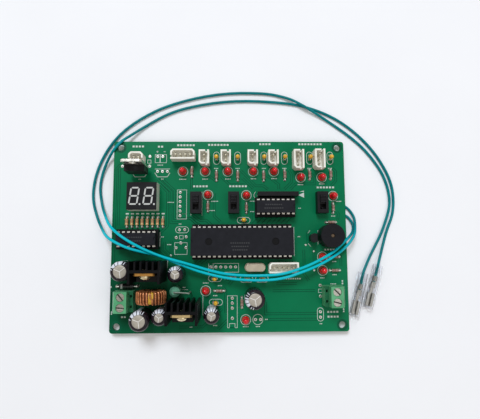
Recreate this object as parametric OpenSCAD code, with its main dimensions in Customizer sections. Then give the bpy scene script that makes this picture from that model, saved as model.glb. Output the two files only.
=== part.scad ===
// Control circuit board of an automatic coop door, with its two loose lead wires.
// Millimetres. Z is up. The origin is the middle of the board, on the surface that it stands on.

/* [Board] */
// Length of the board
board_l = 122.5; // [122:0.5:124]
// Width of the board
board_w = 99.5; // [99:0.5:101]
// Thickness of the board
board_t = 1.6; // [1.2:0.1:2]
// Height of the solder joints that the board stands on
tail_h = 2; // [1.6:0.1:2.4]
// Diameter of the four mounting holes
hole_d = 3.5; // [3:0.1:4]
// Distance between the mounting holes along the board
hole_pitch_x = 115.5; // [114:0.5:116]
// Distance between the mounting holes across the board
hole_pitch_y = 93; // [92:0.5:94]

/* [Integrated circuits] */
// Height of an IC socket
socket_h = 4.5; // [4:0.1:5]
// Thickness of the body of a 16-pin chip
chip16_t = 3.4; // [3:0.1:3.6]
// Thickness of the body of the 40-pin chip
chip40_t = 3.9; // [3.4:0.1:4.2]

/* [Connectors] */
// Height of a pin header housing
header_h = 7; // [6:0.1:7.2]
// Width of a pin header housing
header_w = 5.3; // [5:0.1:5.8]
// Height of a terminal block
block_h = 11; // [10.8:0.1:11.4]

/* [Slide switches] */
// Travel of a slide switch knob
knob_travel = 3.4; // [2.6:0.2:3.4]
// Height that a knob stands above its housing
knob_proud = 0.8; // [0.4:0.1:1.2]

/* [Power parts] */
// Height of a heat sink
sink_h = 20; // [19.6:0.2:21]
// Height of the three wide capacitors
can10_h = 12.5; // [11:0.5:14]
// Height of the three narrow capacitors
can8_h = 11.5; // [10:0.5:13]

/* [Lead wires] */
// Outer diameter of a lead wire
wire_d = 1.4; // [1.2:0.1:1.4]
// Length of a terminal's clear sleeve
sleeve_l = 23; // [22.6:0.2:24]

/* [Hidden] */

top = tail_h + board_t;         // height of the board's upper face
pitch = 2.54;                   // pin pitch of chips and resistors
header_pitch = 2.5;
pin_w = 0.64;                   // square header pin
lead_r = 0.28;                  // round component lead
fine = 48;

corner_r = 1.5;
joint_r = 0.9;                  // solder joint, where it meets the board
tail_r = 0.4;                   // its lower end
wire_joint_r = 1.3;
chip_inset = 1.3;               // how much narrower a chip body is than its pin rows
contact_depth = 2.2;            // slot of a socket contact
contact_l = 1.3;
contact_w = 0.6;
leg_t = 0.25;
leg_w = 0.5;
shoulder_w = 1.4;
notch_r = 1;
notch_depth = 0.5;
dimple_r = 1.8;
dimple_depth = 0.3;
header_end = 4.9;               // length of a housing beyond its pin rows
header_cut = 1.2;               // chamfer of a housing's back corner
header_key_z = 3.5;             // lower end of the key slots in the end walls
switch_floor = 1;
foot_w = 4.1;
foot_l = 5;
bar_back = 2.55;                // back of the contact bar's leg, from the block's back
bar_leg_t = 0.6;
bar_leg_w = 1;
bar_w = 2.2;
room_low = 0.6;
entry_w = 3;
entry_low = 1.3;
entry_h = 3.1;
tab_cut = 0.9;
inductor_side = 0.65;           // wire thickness on the sides of the core
diode_z = 1.6;
suppressor_rise = 1.2;          // how far the top lead stands up before it turns
wire_sides = 8;
crimp_r = 1.25;
receptacle_x = 9;
receptacle_w = 3.6;

// Chips: centre x, centre y, pins on one side, distance between the rows
main_at = [6.25, -3.75, 20, 15.24];
driver_at = [-47, -2.25, 8, 7.62];
buffer_at = [23.5, 14, 8, 7.62];
chip_gap = 0.4;                 // space between a socket and the chip body in it

// Pin headers: centre x, centre y, turn, pins, corners with a chamfer [back left, back right]
lamp_at = [-48.25, 40, 0, 2, 1, 1];
sensor_at = [-24.25, 41.5, 0, 4, 1, 1];
run_key_at = [[-13.25, 40, 90, 2, 1, 0], [-2, 40, 90, 2, 1, 0]];
door_at = [[12, 40, 90, 2, 1, 0], [22.75, 40, 90, 2, 1, 0]];
motor_sensor_at = [[36, 39, 90, 3, 1, 0], [47, 39.25, 90, 3, 1, 0]];
control_at = [27.25, -17, 0, 5, 1, 0];
HEADERS = concat([lamp_at, sensor_at], run_key_at, door_at, motor_sensor_at, [control_at]);
header_wall = 0.8;
header_floor = 1.5;

// Slide switches, centre x and y
run_switch_at = [-17.5, 16.5];
door_switch_at = [2, 16.5];
auto_switch_at = [48.25, 16.5];
SWITCHES = [run_switch_at, door_switch_at, auto_switch_at];
switch_w = 5.7;
switch_l = 11.2;
switch_h = 5;
knob_l = 3.8;
knob_w = 2.9;
slot_gap = 0.1;                 // clearance round a knob in its slot
slot_w = knob_w + 2 * slot_gap;
slot_l = knob_l + knob_travel + 2 * slot_gap;
rail_t = 1;                     // thickness of the housing's top wall
foot_t = 0.9;                   // thickness of the knob's foot under that wall

// Terminal blocks: centre of the back edge x, y and the way that the wires go in (-1 left, 1 right)
power_block_at = [-47.9, -33, -1];
motor_block_at = [47.5, -31.25, 1];
way_pitch = 5.08;
block_l = 2 * way_pitch;
ledge_d = 2.1;                  // depth of the low ledge at the back
ledge_h = 6.5;
block_top_d = 6.1;
block_slope_d = 1.4;
block_slope_h = 3.2;
block_d = ledge_d + block_top_d + block_slope_d;
screw_u = ledge_d + block_top_d / 2;
screw_seat = 9;                 // height of the shoulder under a screw's head
screw_head_r = 1.95;
screw_r = 1.25;
screw_head_h = 1.6;
cage_d = 3.6;                   // clamp cage, along the wire
cage_w = 3.8;
cage_low = 0.8;
cage_window = 2.6;              // width of the cage's opening for the wire
cage_floor = 0.8;
bar_low = 3.6;                  // contact bar that the clamp lifts the wire against
bar_t = 0.7;
collar_t = 1.7;
room_gap = 0.2;                 // space round a cage in its room
room_top = 8.3;
SCREW_TURNS = [50, 5, -45, -15];    // slot angle of each screw at rest

// Upright power packages: x, back face of the tab y
lamp_package_at = [-47.25, 35.8];
rear_sink_at = [-40, -13];      // middle of the fin tips
front_sink_at = [-22.5, -32];
sink_w = 15;
sink_d = 10.4;
fin_l = 4;
fin_t = 0.9;
fin_count = 6;
web_t = 1.4;
arm_t = 1.1;
package_low = 4;                // height of a package's body above the board
package_w = 10;
package_h = 9;
package_d = 3.2;
tab_t = 1.3;
tab_h = 15.5;
tab_hole_up = 12.6;             // height of the tab's hole above the body's lower end
tab_hole_r = 1.8;
bolt_r = 1.45;
bolt_head_r = 2.75;
bolt_head_h = 2;

// Round capacitors: x, y, radius, height
CANS = [
    [-53.25, -18, 5, can10_h], [-43.75, -41.75, 5, can10_h], [12.25, -32, 5, can10_h],
    [-26.75, -19.75, 4, can8_h], [-34.25, -40.25, 4, can8_h], [-9, -39.75, 4, can8_h]
];
sleeve_t = 0.2;                 // thickness of a capacitor's plastic sleeve
can_chamfer = 1.2;
sleeve_lip = 0.6;

// Ceramic capacitors: x, y, turn of the leads
CERAMICS = [
    [-7, 40.75, 90], [4.25, 40.75, 90], [18.25, 40.75, 90], [29.25, 40.75, 90],
    [42.75, 40.75, 90], [53.75, 40.75, 90], [7.25, 7.5, 0],
    [-7.75, -22.5, 0], [8.5, -23, 0], [16.5, -23, 0], [-7.25, -34.6, 0]
];
ceramic_r = 1.15;
ceramic_low = 1.6;
ceramic_mid = 1;

// Resistors: x, y, turn of the body
DISPLAY_RESISTORS = [for (i = [0:7]) [-53.5 + 2.66 * i, 6.75, 90]];
RESISTORS = concat(DISPLAY_RESISTORS, [
    [-20, 33.25, 90], [-7, 31.25, 90], [4.25, 31.25, 90], [18, 31, 90], [29.25, 31.5, 90],
    [42.5, 31.75, 90], [53.75, 32, 90], [-11.5, 14.75, 90], [8.75, 14, 90], [54.5, 13.75, 90],
    [54.5, -11.75, 0], [54.5, -18.75, 0], [-5.5, -28.75, 0], [0, -22.25, 0],
    [6.1, -34.75, 90], [53.25, 6.25, 0]
]);
resistor_r = 0.9;
resistor_l = 3.4;
resistor_z = top + 1.1;

// Indicator lamps, x and y
LEDS = [
    [-24.75, 33.5], [-13, 33.5], [-1, 33.5], [12.5, 33.5], [23.5, 33.5],
    [37.75, 30.25], [49, 30.25], [-11.5, 21], [8.75, 20.75], [54.75, 20.25],
    [48.25, -11.75], [48.25, -18.75], [-12.5, -28.75], [8, -43.5]
];
led_r = 1.5;
led_flange_r = 1.9;
led_flange_h = 1;
led_h = 5.3;

display_at = [-44.5, 19.5];
display_l = 15;
display_w = 14;
display_h = 8;
display_face_t = 0.6;

network_at = [25, 20.75];
network_l = 21;
network_t = 2.3;
network_low = 1;
network_h = 5.2;
network_pins = 9;

buzzer_at = [51.75, -1];
buzzer_r = 6;
buzzer_h = 9.5;
crystal_at = [13, -17];
crystal_l = 10.8;
crystal_w = 4.6;
crystal_h = 3.6;
small_transistor_at = [43.25, -2];
small_transistor_r = 2.3;
small_transistor_low = 2;
small_transistor_h = 4.6;
diode_at = [-52.5, -26.1];
diode_r = 1.4;
diode_l = 7.4;
diode_span = 10.2;
suppressor_at = [-27.5, -28.5];
suppressor_r = 2.6;
suppressor_h = 7.5;
suppressor_pad = [-20.25, -29];
inductor_at = [-38.75, -30.75];
inductor_r = 7.5;
inductor_d = 6.8;
inductor_bore = 2.9;
inductor_wire = 0.8;
inductor_turns = 20;

// Lead wires, from the solder joint under the board to the crimp of the terminal
wire_r = wire_d / 2;
sleeve_w = 5.4;
sleeve_t_out = 4.2;
sleeve_wall = 0.4;
sleeve_z = sleeve_t_out / 2;
terminal_start = 6;             // from the sleeve's mouth to the crimp
terminal_l = 15.8;
crimp_l = 2.6;
inner_mouth = [78, -16.25];     // mouth of the inner wire's sleeve
inner_turn = -106;
outer_mouth = [70, -20.25];
outer_turn = -104.5;

// The inner wire: out from under the right edge, back over the board and round it
INNER_ROUTE = [
    [56.5, 13, 0.7], [60, 11.2, 0.7], [63.6, 8.8, 0.7], [65.6, 5.2, 1.3], [64.9, 1.6, 2.9],
    [62, -1.8, 4.7], [57.6, -5.5, 6.8], [53, -9, 8.6], [48.2, -11.7, 9.8], [34.5, -17.6, 11.5],
    [26, -19.9, 11.4], [14, -20.8, 9.6], [-1, -20, 8.9], [-23.7, -13.9, 11.3], [-33.5, -11, 12.7],
    [-43.5, -6.8, 13.3], [-54.2, -0.4, 13.6], [-59.3, 3.6, 11.1], [-64.5, 10.3, 5.1],
    [-67.8, 17.5, 1.1], [-68.9, 25, 0.7], [-64.2, 41, 2.6], [-61, 45.3, 4.5], [-57.5, 49.4, 4.5],
    [-53, 53.5, 2.4], [-44, 60, 0.7], [-31, 66.9, 0.7], [-15, 71.2, 0.7], [22, 73, 0.7],
    [40, 70.6, 0.7], [57, 64, 0.7], [71.5, 53, 0.7], [81.5, 40.5, 0.7], [87.6, 26.5, 0.7],
    [87.8, 12.5, 0.7], [83.6, 0.8, 0.7], [80.2, -9.5, 1.4]
];
// The outer wire: beside the inner one, over it beyond the board's far edge, inside it after that
OUTER_ROUTE = [
    [57, 17.5, 0.7], [64, 13.2, 0.7], [66.3, 9, 1.4], [66.2, 4.8, 3.1], [64.9, -0.4, 5.3],
    [61.6, -5, 6.3], [57.5, -8.6, 6.9], [46.7, -14.9, 9.5], [34.5, -19.6, 11.4],
    [29.5, -21.3, 11.2], [9, -23, 9.8], [-14.8, -18.7, 9.3], [-26, -14.5, 9.9], [-35, -10.7, 10.9],
    [-44, -8.5, 12], [-51, -6.4, 12.8], [-56, -4.1, 13], [-61, -1.4, 10.5], [-66, 3.2, 4.6],
    [-70, 10, 1.2], [-72.4, 19, 0.7], [-72, 28.5, 0.7], [-68.8, 39.5, 0.7], [-62.4, 50.6, 0.7],
    [-40, 67.7, 0.7], [-24, 73.5, 0.7], [12, 78, 0.7], [25, 76.9, 0.7], [33.5, 74.2, 1.5],
    [40, 70.4, 2.5], [46, 67, 1.7], [54, 62, 0.7], [77, 42, 0.7], [84, 30, 0.7], [86.2, 17, 0.7],
    [82.8, 5, 0.7], [72.6, -14.8, 1.4]
];

function along(p, turn, s) = [p[0] + s * cos(turn), p[1] + s * sin(turn), sleeve_z];
function into_sleeve(mouth, turn) =
    [for (s = [0, terminal_start, terminal_start + crimp_l + 0.5]) along(mouth, turn, s)];
INNER_PATH = concat(INNER_ROUTE, into_sleeve(inner_mouth, inner_turn));
OUTER_PATH = concat(OUTER_ROUTE, into_sleeve(outer_mouth, outer_turn));

// Where the pins and leads go into the board
function row(x, y, n, step, turn) =
    [for (i = [0:n - 1]) let (d = (i - (n - 1) / 2) * step) [x + d * cos(turn), y + d * sin(turn)]];
function chip_pins(c) = concat(row(c[0], c[1] - c[3] / 2, c[2], pitch, 0),
    row(c[0], c[1] + c[3] / 2, c[2], pitch, 0));
function header_pins_at(h) = row(h[0], h[1], h[3], header_pitch, h[2]);
function tab_back(sink) = [sink[0], sink[1] - fin_l - web_t];
function package_pins(p) = row(p[0], p[1] - 2.4, 3, pitch, 0);
function block_point(b, u, v) = [b[0] + b[2] * u, b[1] + v];
PACKAGES = [lamp_package_at, tab_back(rear_sink_at), tab_back(front_sink_at)];
PACKAGE_PINS = [for (p = PACKAGES) each package_pins(p)];
CERAMIC_PINS = [for (c = CERAMICS) each row(c[0], c[1], 2, pitch, c[2])];
NETWORK_PINS = row(network_at[0], network_at[1], network_pins, pitch * 0.97, 0);
TRANSISTOR_PINS = row(small_transistor_at[0], small_transistor_at[1], 3, 1.27, 90);
CHIP_PINS = concat(chip_pins(main_at), chip_pins(driver_at), chip_pins(buffer_at));
HEADER_PINS = [for (h = HEADERS) each header_pins_at(h)];
SWITCH_PINS = [for (s = SWITCHES) each row(s[0], s[1], 3, 2.8, 90)];
BAR_PINS = [for (b = [power_block_at, motor_block_at], v = [-0.5, 0.5])
    block_point(b, bar_back + bar_leg_t / 2, v * way_pitch)];
SOLDERED = concat(
    CHIP_PINS, HEADER_PINS, SWITCH_PINS, BAR_PINS, PACKAGE_PINS, CERAMIC_PINS, NETWORK_PINS,
    [for (r = RESISTORS) each row(r[0], r[1], 2, 2 * pitch, r[2])],
    [for (p = LEDS) each row(p[0], p[1], 2, pitch, 0)],
    [for (c = CANS) each row(c[0], c[1], 2, c[2], 0)],
    [for (y = [-1, 1]) each row(display_at[0], display_at[1] + 2 * y * pitch, 5, pitch, 0)],
    [for (s = [rear_sink_at, front_sink_at])
        each row(s[0], s[1] - fin_l - web_t / 2, 2, sink_w - arm_t, 0)],
    row(buzzer_at[0], buzzer_at[1], 2, 6.5, 0), row(crystal_at[0], crystal_at[1], 2, 4.9, 0),
    [TRANSISTOR_PINS[0], TRANSISTOR_PINS[2]],
    row(diode_at[0], diode_at[1], 2, diode_span, 0), row(inductor_at[0], inductor_at[1], 2, 9, 0),
    [suppressor_at, suppressor_pad]
);

// A smooth curve through the points of a wire's route, never below the surface
function slope(p, i) = let (    // the shorter of the two spans at a point weighs more
    back = p[i] - p[max(i - 1, 0)], on = p[min(i + 1, len(p) - 1)] - p[i],
    near = norm(back), far = norm(on)
) near * far == 0 ? (back + on) / (near + far)
    : (back * far / near + on * near / far) / (near + far);
function spline_at(p, i, t) = let (
    b = p[i], c = p[i + 1],
    q = b + (c - b) * t * t * (3 - 2 * t)
        + (slope(p, i) * (1 - t) - slope(p, i + 1) * t) * norm(c - b) * t * (1 - t)
) [q[0], q[1], max(q[2], wire_r)];
function smooth(p) =
    concat([for (i = [0:len(p) - 2], t = [0, 0.5]) spline_at(p, i, t)], [p[len(p) - 1]]);
function heading(p, i) = let (v = p[min(i + 1, len(p) - 1)] - p[max(i - 1, 0)]) v / norm(v);
function ring(p, i) = let (
    t = heading(p, i), side = cross(t, [0, 0, 1]), s = side / norm(side), u = cross(s, t),
    r = wire_r / cos(180 / wire_sides)
) [for (k = [0:wire_sides - 1]) let (a = 360 * (k + 0.5) / wire_sides)
    p[i] + r * (cos(a) * s + sin(a) * u)];

module slab(l, w, h) {
    translate([-l / 2, -w / 2, 0]) cube([l, w, h]);
}

module rod(r, h) {
    cylinder(r = r, h = h, $fn = fine);
}

module stadium(l, w, h) {
    slab(l - w, w, h);
    for (x = [-1, 1]) translate([x * (l - w) / 2, 0, 0]) rod(w / 2, h);
}

// A rod along +X
module x_rod(r, l) {
    rotate([0, 90, 0]) rod(r, l);
}

module on_board(p, turn = 0) {
    translate([p[0], p[1], top]) rotate([0, 0, turn]) children();
}

module circuit_board() {
    color("seagreen") translate([0, 0, tail_h]) difference() {
        union() {
            slab(board_l - 2 * corner_r, board_w, board_t);
            slab(board_l, board_w - 2 * corner_r, board_t);
            for (x = [-1, 1], y = [-1, 1])
                translate([x * (board_l / 2 - corner_r), y * (board_w / 2 - corner_r), 0])
                    rod(corner_r, board_t);
        }
        for (x = [-1, 1], y = [-1, 1])
            translate([x * hole_pitch_x / 2, y * hole_pitch_y / 2, -1])
                rod(hole_d / 2, board_t + 2);
    }
}

module solder_joints() {
    color("silver") {
        for (p = SOLDERED) translate([p[0], p[1], 0])
            cylinder(r1 = tail_r, r2 = joint_r, h = tail_h, $fn = fine);
        for (p = [INNER_ROUTE[0], OUTER_ROUTE[0]]) translate([p[0], p[1], 0])
            rod(wire_joint_r, tail_h);
    }
}

module display_case() {
    color("ivory") on_board(display_at) slab(display_l, display_w, display_h - display_face_t);
}

module display_face() {
    color("black") on_board(display_at) translate([0, 0, display_h - display_face_t])
        slab(display_l, display_w, display_face_t);
}

module chip_socket(c, extra, bays) {
    l = c[2] * pitch + extra;
    inner_w = c[3] - 1.2 * pitch;
    bay_l = (l - 3 * (bays + 1)) / bays;
    on_board(c) difference() {
        slab(l, c[3] + pitch, socket_h);
        for (i = [0:bays - 1]) translate([(i - (bays - 1) / 2) * (bay_l + 3), 0, -1])
            slab(bay_l, inner_w, socket_h + 2);
        for (p = chip_pins(c)) translate([p[0] - c[0], p[1] - c[1], socket_h - contact_depth])
            slab(contact_l, contact_w, socket_h);
    }
}

module chip_sockets() {
    color("dimgray") {
        chip_socket(main_at, 0, 3);
        chip_socket(driver_at, 0.8, 1);
        chip_socket(buffer_at, 0.4, 1);
    }
}

// A chip body with its end notch, on the left (-1) or the right (1)
module chip(c, l, t, notch_side) {
    w = c[3] - chip_inset;
    on_board(c) translate([0, 0, socket_h + chip_gap]) difference() {
        slab(l, w, t);
        translate([notch_side * l / 2, 0, t - notch_depth]) rod(notch_r, t);
    }
}

module main_chip() {
    color("darkslategray") difference() {
        chip(main_at, 51.6, chip40_t, -1);
        for (x = [-1, 1]) translate([main_at[0] + x * 16.75, main_at[1],
            top + socket_h + chip_gap + chip40_t - dimple_depth]) rod(dimple_r, 1);
    }
}

module driver_chip() {
    color("darkslategray") chip(driver_at, 19.4, chip16_t, 1);
}

module buffer_chip() {
    color("darkslategray") chip(buffer_at, 19.4, chip16_t, 1);
}

// Each leg leaves the middle of the chip's side and turns down into its socket contact
module legs_of(c, t) {
    half = (c[3] - chip_inset) / 2;
    z = socket_h + chip_gap + t / 2;
    reach = c[3] / 2 + leg_t / 2 - half;
    for (i = [0:c[2] - 1], s = [-1, 1])
        on_board(c) translate([(i - (c[2] - 1) / 2) * pitch, s * half, 0]) {
            translate([-shoulder_w / 2, s > 0 ? 0 : -reach, z]) cube([shoulder_w, reach, leg_t]);
            translate([0, s * (reach - leg_t / 2), socket_h - contact_depth + 0.3])
                slab(leg_w, leg_t, z - socket_h + contact_depth - 0.3);
        }
}

module chip_legs() {
    color("gainsboro") {
        legs_of(main_at, chip40_t);
        legs_of(driver_at, chip16_t);
        legs_of(buffer_at, chip16_t);
    }
}

module resistor_network() {
    color("black") on_board(network_at) translate([0, 0, network_low])
        slab(network_l, network_t, network_h);
}

// Outline of a header housing, with cut corners at the back
module header_outline(l, w, cut, left, right) {
    polygon([
        [-l / 2, -w / 2], [l / 2, -w / 2],
        [l / 2, w / 2 - cut * right], [l / 2 - cut * right, w / 2],
        [-l / 2 + cut * left, w / 2], [-l / 2, w / 2 - cut * left]
    ]);
}

module header(h) {
    l = (h[3] - 1) * header_pitch + header_end;
    inner_l = l - 2 * header_wall;
    inner_w = header_w - 2 * header_wall;
    left = max(h[4], 0.01);
    right = max(h[5], 0.01);
    color("white") on_board(h, h[2]) difference() {
        linear_extrude(header_h) header_outline(l, header_w, header_cut, left, right);
        translate([0, 0, header_floor]) linear_extrude(header_h)
            header_outline(inner_l, inner_w, header_cut - 0.4, left, right);
        translate([0, -inner_w / 2 + 0.7, header_key_z]) slab(l + 1, 1, header_h);
        for (i = [0:h[3] - 1]) translate([(i - (h[3] - 1) / 2) * header_pitch, 0, -1])
            slab(pin_w, pin_w, header_floor + 2);
    }
}

module lamp_header() {
    header(lamp_at);
}

module sensor_header() {
    header(sensor_at);
}

module run_key_headers() {
    for (h = run_key_at) header(h);
}

module door_headers() {
    for (h = door_at) header(h);
}

module motor_sensor_headers() {
    for (h = motor_sensor_at) header(h);
}

module control_header() {
    header(control_at);
}

module header_pins() {
    color("gold") for (p = HEADER_PINS) on_board(p) slab(pin_w, pin_w, header_h - 1);
}

// A slide switch: the knob's foot slides in a room under the slotted top wall
module switch_housing(s) {
    color("dimgray") on_board(s) difference() {
        slab(switch_w, switch_l, switch_h);
        translate([0, 0, switch_floor])
            slab(foot_w + 2 * slot_gap, foot_l + knob_travel + 2 * slot_gap,
                switch_h - rail_t - switch_floor);
        translate([0, 0, switch_h - rail_t - 1]) slab(slot_w, slot_l, rail_t + 2);
        for (p = row(0, 0, 3, 2.8, 90)) translate([p[0], p[1], -1]) slab(pin_w, pin_w, 3);
    }
}

module switch_knob(s) {
    color("black") on_board([s[0], s[1] + knob_travel / 2]) {
        translate([0, 0, switch_h - rail_t - slot_gap - foot_t]) slab(foot_w, foot_l, foot_t);
        translate([0, 0, switch_h - rail_t - slot_gap - foot_t / 2])
            slab(knob_w, knob_l, rail_t + slot_gap + foot_t / 2 + knob_proud);
    }
}

module run_switch_housing() {
    switch_housing(run_switch_at);
}

module door_switch_housing() {
    switch_housing(door_switch_at);
}

module auto_switch_housing() {
    switch_housing(auto_switch_at);
}

module run_switch_knob() {
    switch_knob(run_switch_at);
}

module door_switch_knob() {
    switch_knob(door_switch_at);
}

module auto_switch_knob() {
    switch_knob(auto_switch_at);
}

module switch_contacts() {
    color("gold") for (p = SWITCH_PINS) on_board(p)
        slab(pin_w, pin_w, switch_h - rail_t - 2 * slot_gap - foot_t);
}

// Terminal blocks are drawn with +X towards the wires and turned to face their edge
module facing(b, v = 0) {
    on_board([b[0], b[1] + v * way_pitch]) mirror([b[2] < 0 ? 1 : 0, 0, 0]) children();
}

module terminal_block(b) {
    color("mediumseagreen") difference() {
        facing(b) rotate([90, 0, 0]) linear_extrude(block_l, center = true) polygon([
            [0, 0], [0, ledge_h], [ledge_d, ledge_h], [ledge_d, block_h],
            [ledge_d + block_top_d, block_h], [block_d, block_h - block_slope_h], [block_d, 0]
        ]);
        for (v = [-0.5, 0.5]) facing(b, v) {
            translate([screw_u, 0, screw_seat]) rod(screw_head_r + 0.1, block_h);
            translate([screw_u, 0, room_top - 1]) rod(screw_r + 0.2, block_h);
            translate([bar_back, -cage_w / 2 - room_gap, room_low])
                cube([screw_u + cage_d / 2 + room_gap - bar_back, cage_w + 2 * room_gap,
                    room_top - room_low]);
            translate([bar_back, -bar_leg_w / 2, -1]) cube([bar_leg_t, bar_leg_w, 3]);
            translate([screw_u, -entry_w / 2, entry_low]) cube([block_d, entry_w, entry_h]);
            translate([0.5, -0.75, ledge_h - 3]) cube([1.2, 1.5, 4]);
        }
    }
}

module power_terminal_block() {
    terminal_block(power_block_at);
}

module motor_terminal_block() {
    terminal_block(motor_block_at);
}

// The fixed bar that the rising clamp presses the wire against, and its leg into the board
module terminal_bars() {
    color("gold") for (b = [power_block_at, motor_block_at], v = [-0.5, 0.5]) facing(b, v) {
        translate([bar_back, -bar_leg_w / 2, 0]) cube([bar_leg_t, bar_leg_w, bar_low + bar_t]);
        translate([bar_back, -bar_w / 2, bar_low])
            cube([screw_u + cage_d / 2 - 0.2 - bar_back, bar_w, bar_t]);
    }
}

module clamp_screw(b, v, turn) {
    color("silver") facing(b, v) translate([screw_u, 0, 0]) difference() {
        union() {
            translate([0, 0, bar_low + bar_t + 0.05])
                rod(screw_r, screw_seat - bar_low - bar_t);
            translate([0, 0, screw_seat + 0.05]) rod(screw_head_r, screw_head_h);
        }
        translate([0, 0, screw_seat + screw_head_h - 0.7]) rotate([0, 0, turn]) slab(6, 0.6, 2);
    }
}

module clamp(b, v) {
    window_h = bar_low + bar_t + 0.1 - cage_low - cage_floor;
    color("silver") facing(b, v) translate([screw_u, 0, cage_low]) difference() {
        slab(cage_d, cage_w, cage_floor + window_h + collar_t);
        translate([0, 0, cage_floor]) slab(cage_d + 1, cage_window, window_h);
        translate([0, 0, cage_floor + window_h - 0.5]) rod(screw_r + 0.05, collar_t + 1);
    }
}

module power_screw_1() {
    clamp_screw(power_block_at, 0.5, SCREW_TURNS[0]);
}

module power_screw_2() {
    clamp_screw(power_block_at, -0.5, SCREW_TURNS[1]);
}

module motor_screw_1() {
    clamp_screw(motor_block_at, 0.5, SCREW_TURNS[2]);
}

module motor_screw_2() {
    clamp_screw(motor_block_at, -0.5, SCREW_TURNS[3]);
}

module power_clamp_1() {
    clamp(power_block_at, 0.5);
}

module power_clamp_2() {
    clamp(power_block_at, -0.5);
}

module motor_clamp_1() {
    clamp(motor_block_at, 0.5);
}

module motor_clamp_2() {
    clamp(motor_block_at, -0.5);
}

module buzzer() {
    color("black") on_board(buzzer_at) difference() {
        rod(buzzer_r, buzzer_h);
        translate([0, 0, buzzer_h - 2]) rod(1, 3);
    }
}

// Upright packages: the plastic bodies stand in front of their metal tabs
module power_packages() {
    color("black") for (p = PACKAGES) on_board([p[0], p[1] - tab_t - package_d / 2])
        translate([0, 0, package_low]) slab(package_w, package_d, package_h);
}

module power_package_tabs() {
    color("silver") for (p = PACKAGES)
        on_board(p) translate([0, 0, package_low]) rotate([90, 0, 0]) linear_extrude(tab_t)
            difference() {
                polygon([
                    [-package_w / 2, 0], [package_w / 2, 0],
                    [package_w / 2, tab_h - tab_cut], [package_w / 2 - tab_cut, tab_h],
                    [-package_w / 2 + tab_cut, tab_h], [-package_w / 2, tab_h - tab_cut]
                ]);
                translate([0, tab_hole_up]) circle(r = tab_hole_r, $fn = fine);
            }
}

module heat_sink(s) {
    gap = (sink_w - fin_t) / (fin_count - 1);
    color("black") on_board(s) difference() {
        linear_extrude(sink_h) {
            translate([-sink_w / 2, -fin_l - web_t]) square([sink_w, web_t]);
            for (i = [0:fin_count - 1])
                translate([-sink_w / 2 + i * gap, -fin_l - 0.1]) square([fin_t, fin_l + 0.1]);
            for (x = [-sink_w / 2, sink_w / 2 - arm_t])
                translate([x, -sink_d]) square([arm_t, sink_d - fin_l]);
        }
        translate([0, 1, package_low + tab_hole_up]) rotate([90, 0, 0]) rod(bolt_r + 0.05, sink_d);
    }
}

module rear_heat_sink() {
    heat_sink(rear_sink_at);
}

module front_heat_sink() {
    heat_sink(front_sink_at);
}

module regulator_screws() {
    color("gold") for (s = [rear_sink_at, front_sink_at])
        on_board([s[0], s[1] - fin_l, 0]) translate([0, 0, package_low + tab_hole_up])
            rotate([90, 0, 0]) {
                rod(bolt_r, web_t + tab_t + 0.1);
                translate([0, 0, web_t + tab_t]) rod(bolt_head_r, bolt_head_h);
            }
}

module inductor_frame() {
    on_board(inductor_at) translate([0, 0, inductor_r]) rotate([90, 0, 0]) children();
}

module inductor_core() {
    core_d = inductor_d - 2 * inductor_side;
    color("dimgray") inductor_frame() translate([0, 0, -core_d / 2]) difference() {
        rod(inductor_r - 0.9, core_d);
        translate([0, 0, -1]) rod(inductor_bore + 0.7, core_d + 2);
    }
}

module inductor_winding() {
    color("peru") inductor_frame() for (i = [0:inductor_turns - 1])
        rotate([0, 0, 360 * i / inductor_turns - 90]) difference() {
            translate([inductor_bore, -inductor_wire / 2, -inductor_d / 2])
                cube([inductor_r - inductor_bore, inductor_wire, inductor_d]);
            translate([inductor_bore + 0.67, -1, -inductor_d / 2 + inductor_side])
                cube([inductor_r - inductor_bore - 1.54, 2, inductor_d - 2 * inductor_side]);
        }
}

module can_shape(r, h, inset) {
    rotate_extrude($fn = fine) polygon([
        [0, 0], [r - inset, 0], [r - inset, h - can_chamfer - inset / 2],
        [r - can_chamfer - inset / 2, h - inset], [0, h - inset]
    ]);
}

module capacitor_cans() {
    color("gray") for (c = CANS) on_board(c) can_shape(c[2], c[3], sleeve_t);
}

module capacitor_sleeves() {
    color("black") for (c = CANS) on_board(c) difference() {
        can_shape(c[2], c[3], 0);
        can_shape(c[2], c[3], sleeve_t);
        translate([0, 0, c[3] - 1]) rod(c[2] - can_chamfer - sleeve_lip, 2);
    }
}

module ceramic_capacitors() {
    color("goldenrod") for (c = CERAMICS) on_board(c) translate([0, 0, ceramic_low + ceramic_r]) {
        sphere(r = ceramic_r, $fn = fine);
        rod(ceramic_r, ceramic_mid);
        translate([0, 0, ceramic_mid]) sphere(r = ceramic_r, $fn = fine);
    }
}

module resistors() {
    color("tan") for (r = RESISTORS) translate([r[0], r[1], resistor_z]) rotate([0, 0, r[2]])
        translate([-resistor_l / 2, 0, 0]) x_rod(resistor_r, resistor_l);
}

module indicator_leds() {
    color("red") for (p = LEDS) on_board(p) {
        rod(led_flange_r, led_flange_h);
        rod(led_r, led_h - led_r);
        translate([0, 0, led_h - led_r]) sphere(r = led_r, $fn = fine);
    }
}

module rectifier_diode() {
    color("black") on_board(diode_at) translate([-diode_l / 2, 0, diode_z])
        x_rod(diode_r, diode_l);
}

module surge_suppressor() {
    color("mediumaquamarine") on_board(suppressor_at) {
        rod(suppressor_r, suppressor_h - 1.2);
        translate([0, 0, suppressor_h - 1.2])
            cylinder(r1 = suppressor_r, r2 = suppressor_r - 1.2, h = 1.2, $fn = fine);
    }
}

module crystal() {
    color("silver") on_board(crystal_at) {
        stadium(crystal_l, crystal_w, 0.6);
        stadium(crystal_l - 0.8, crystal_w - 0.8, crystal_h);
    }
}

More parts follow.
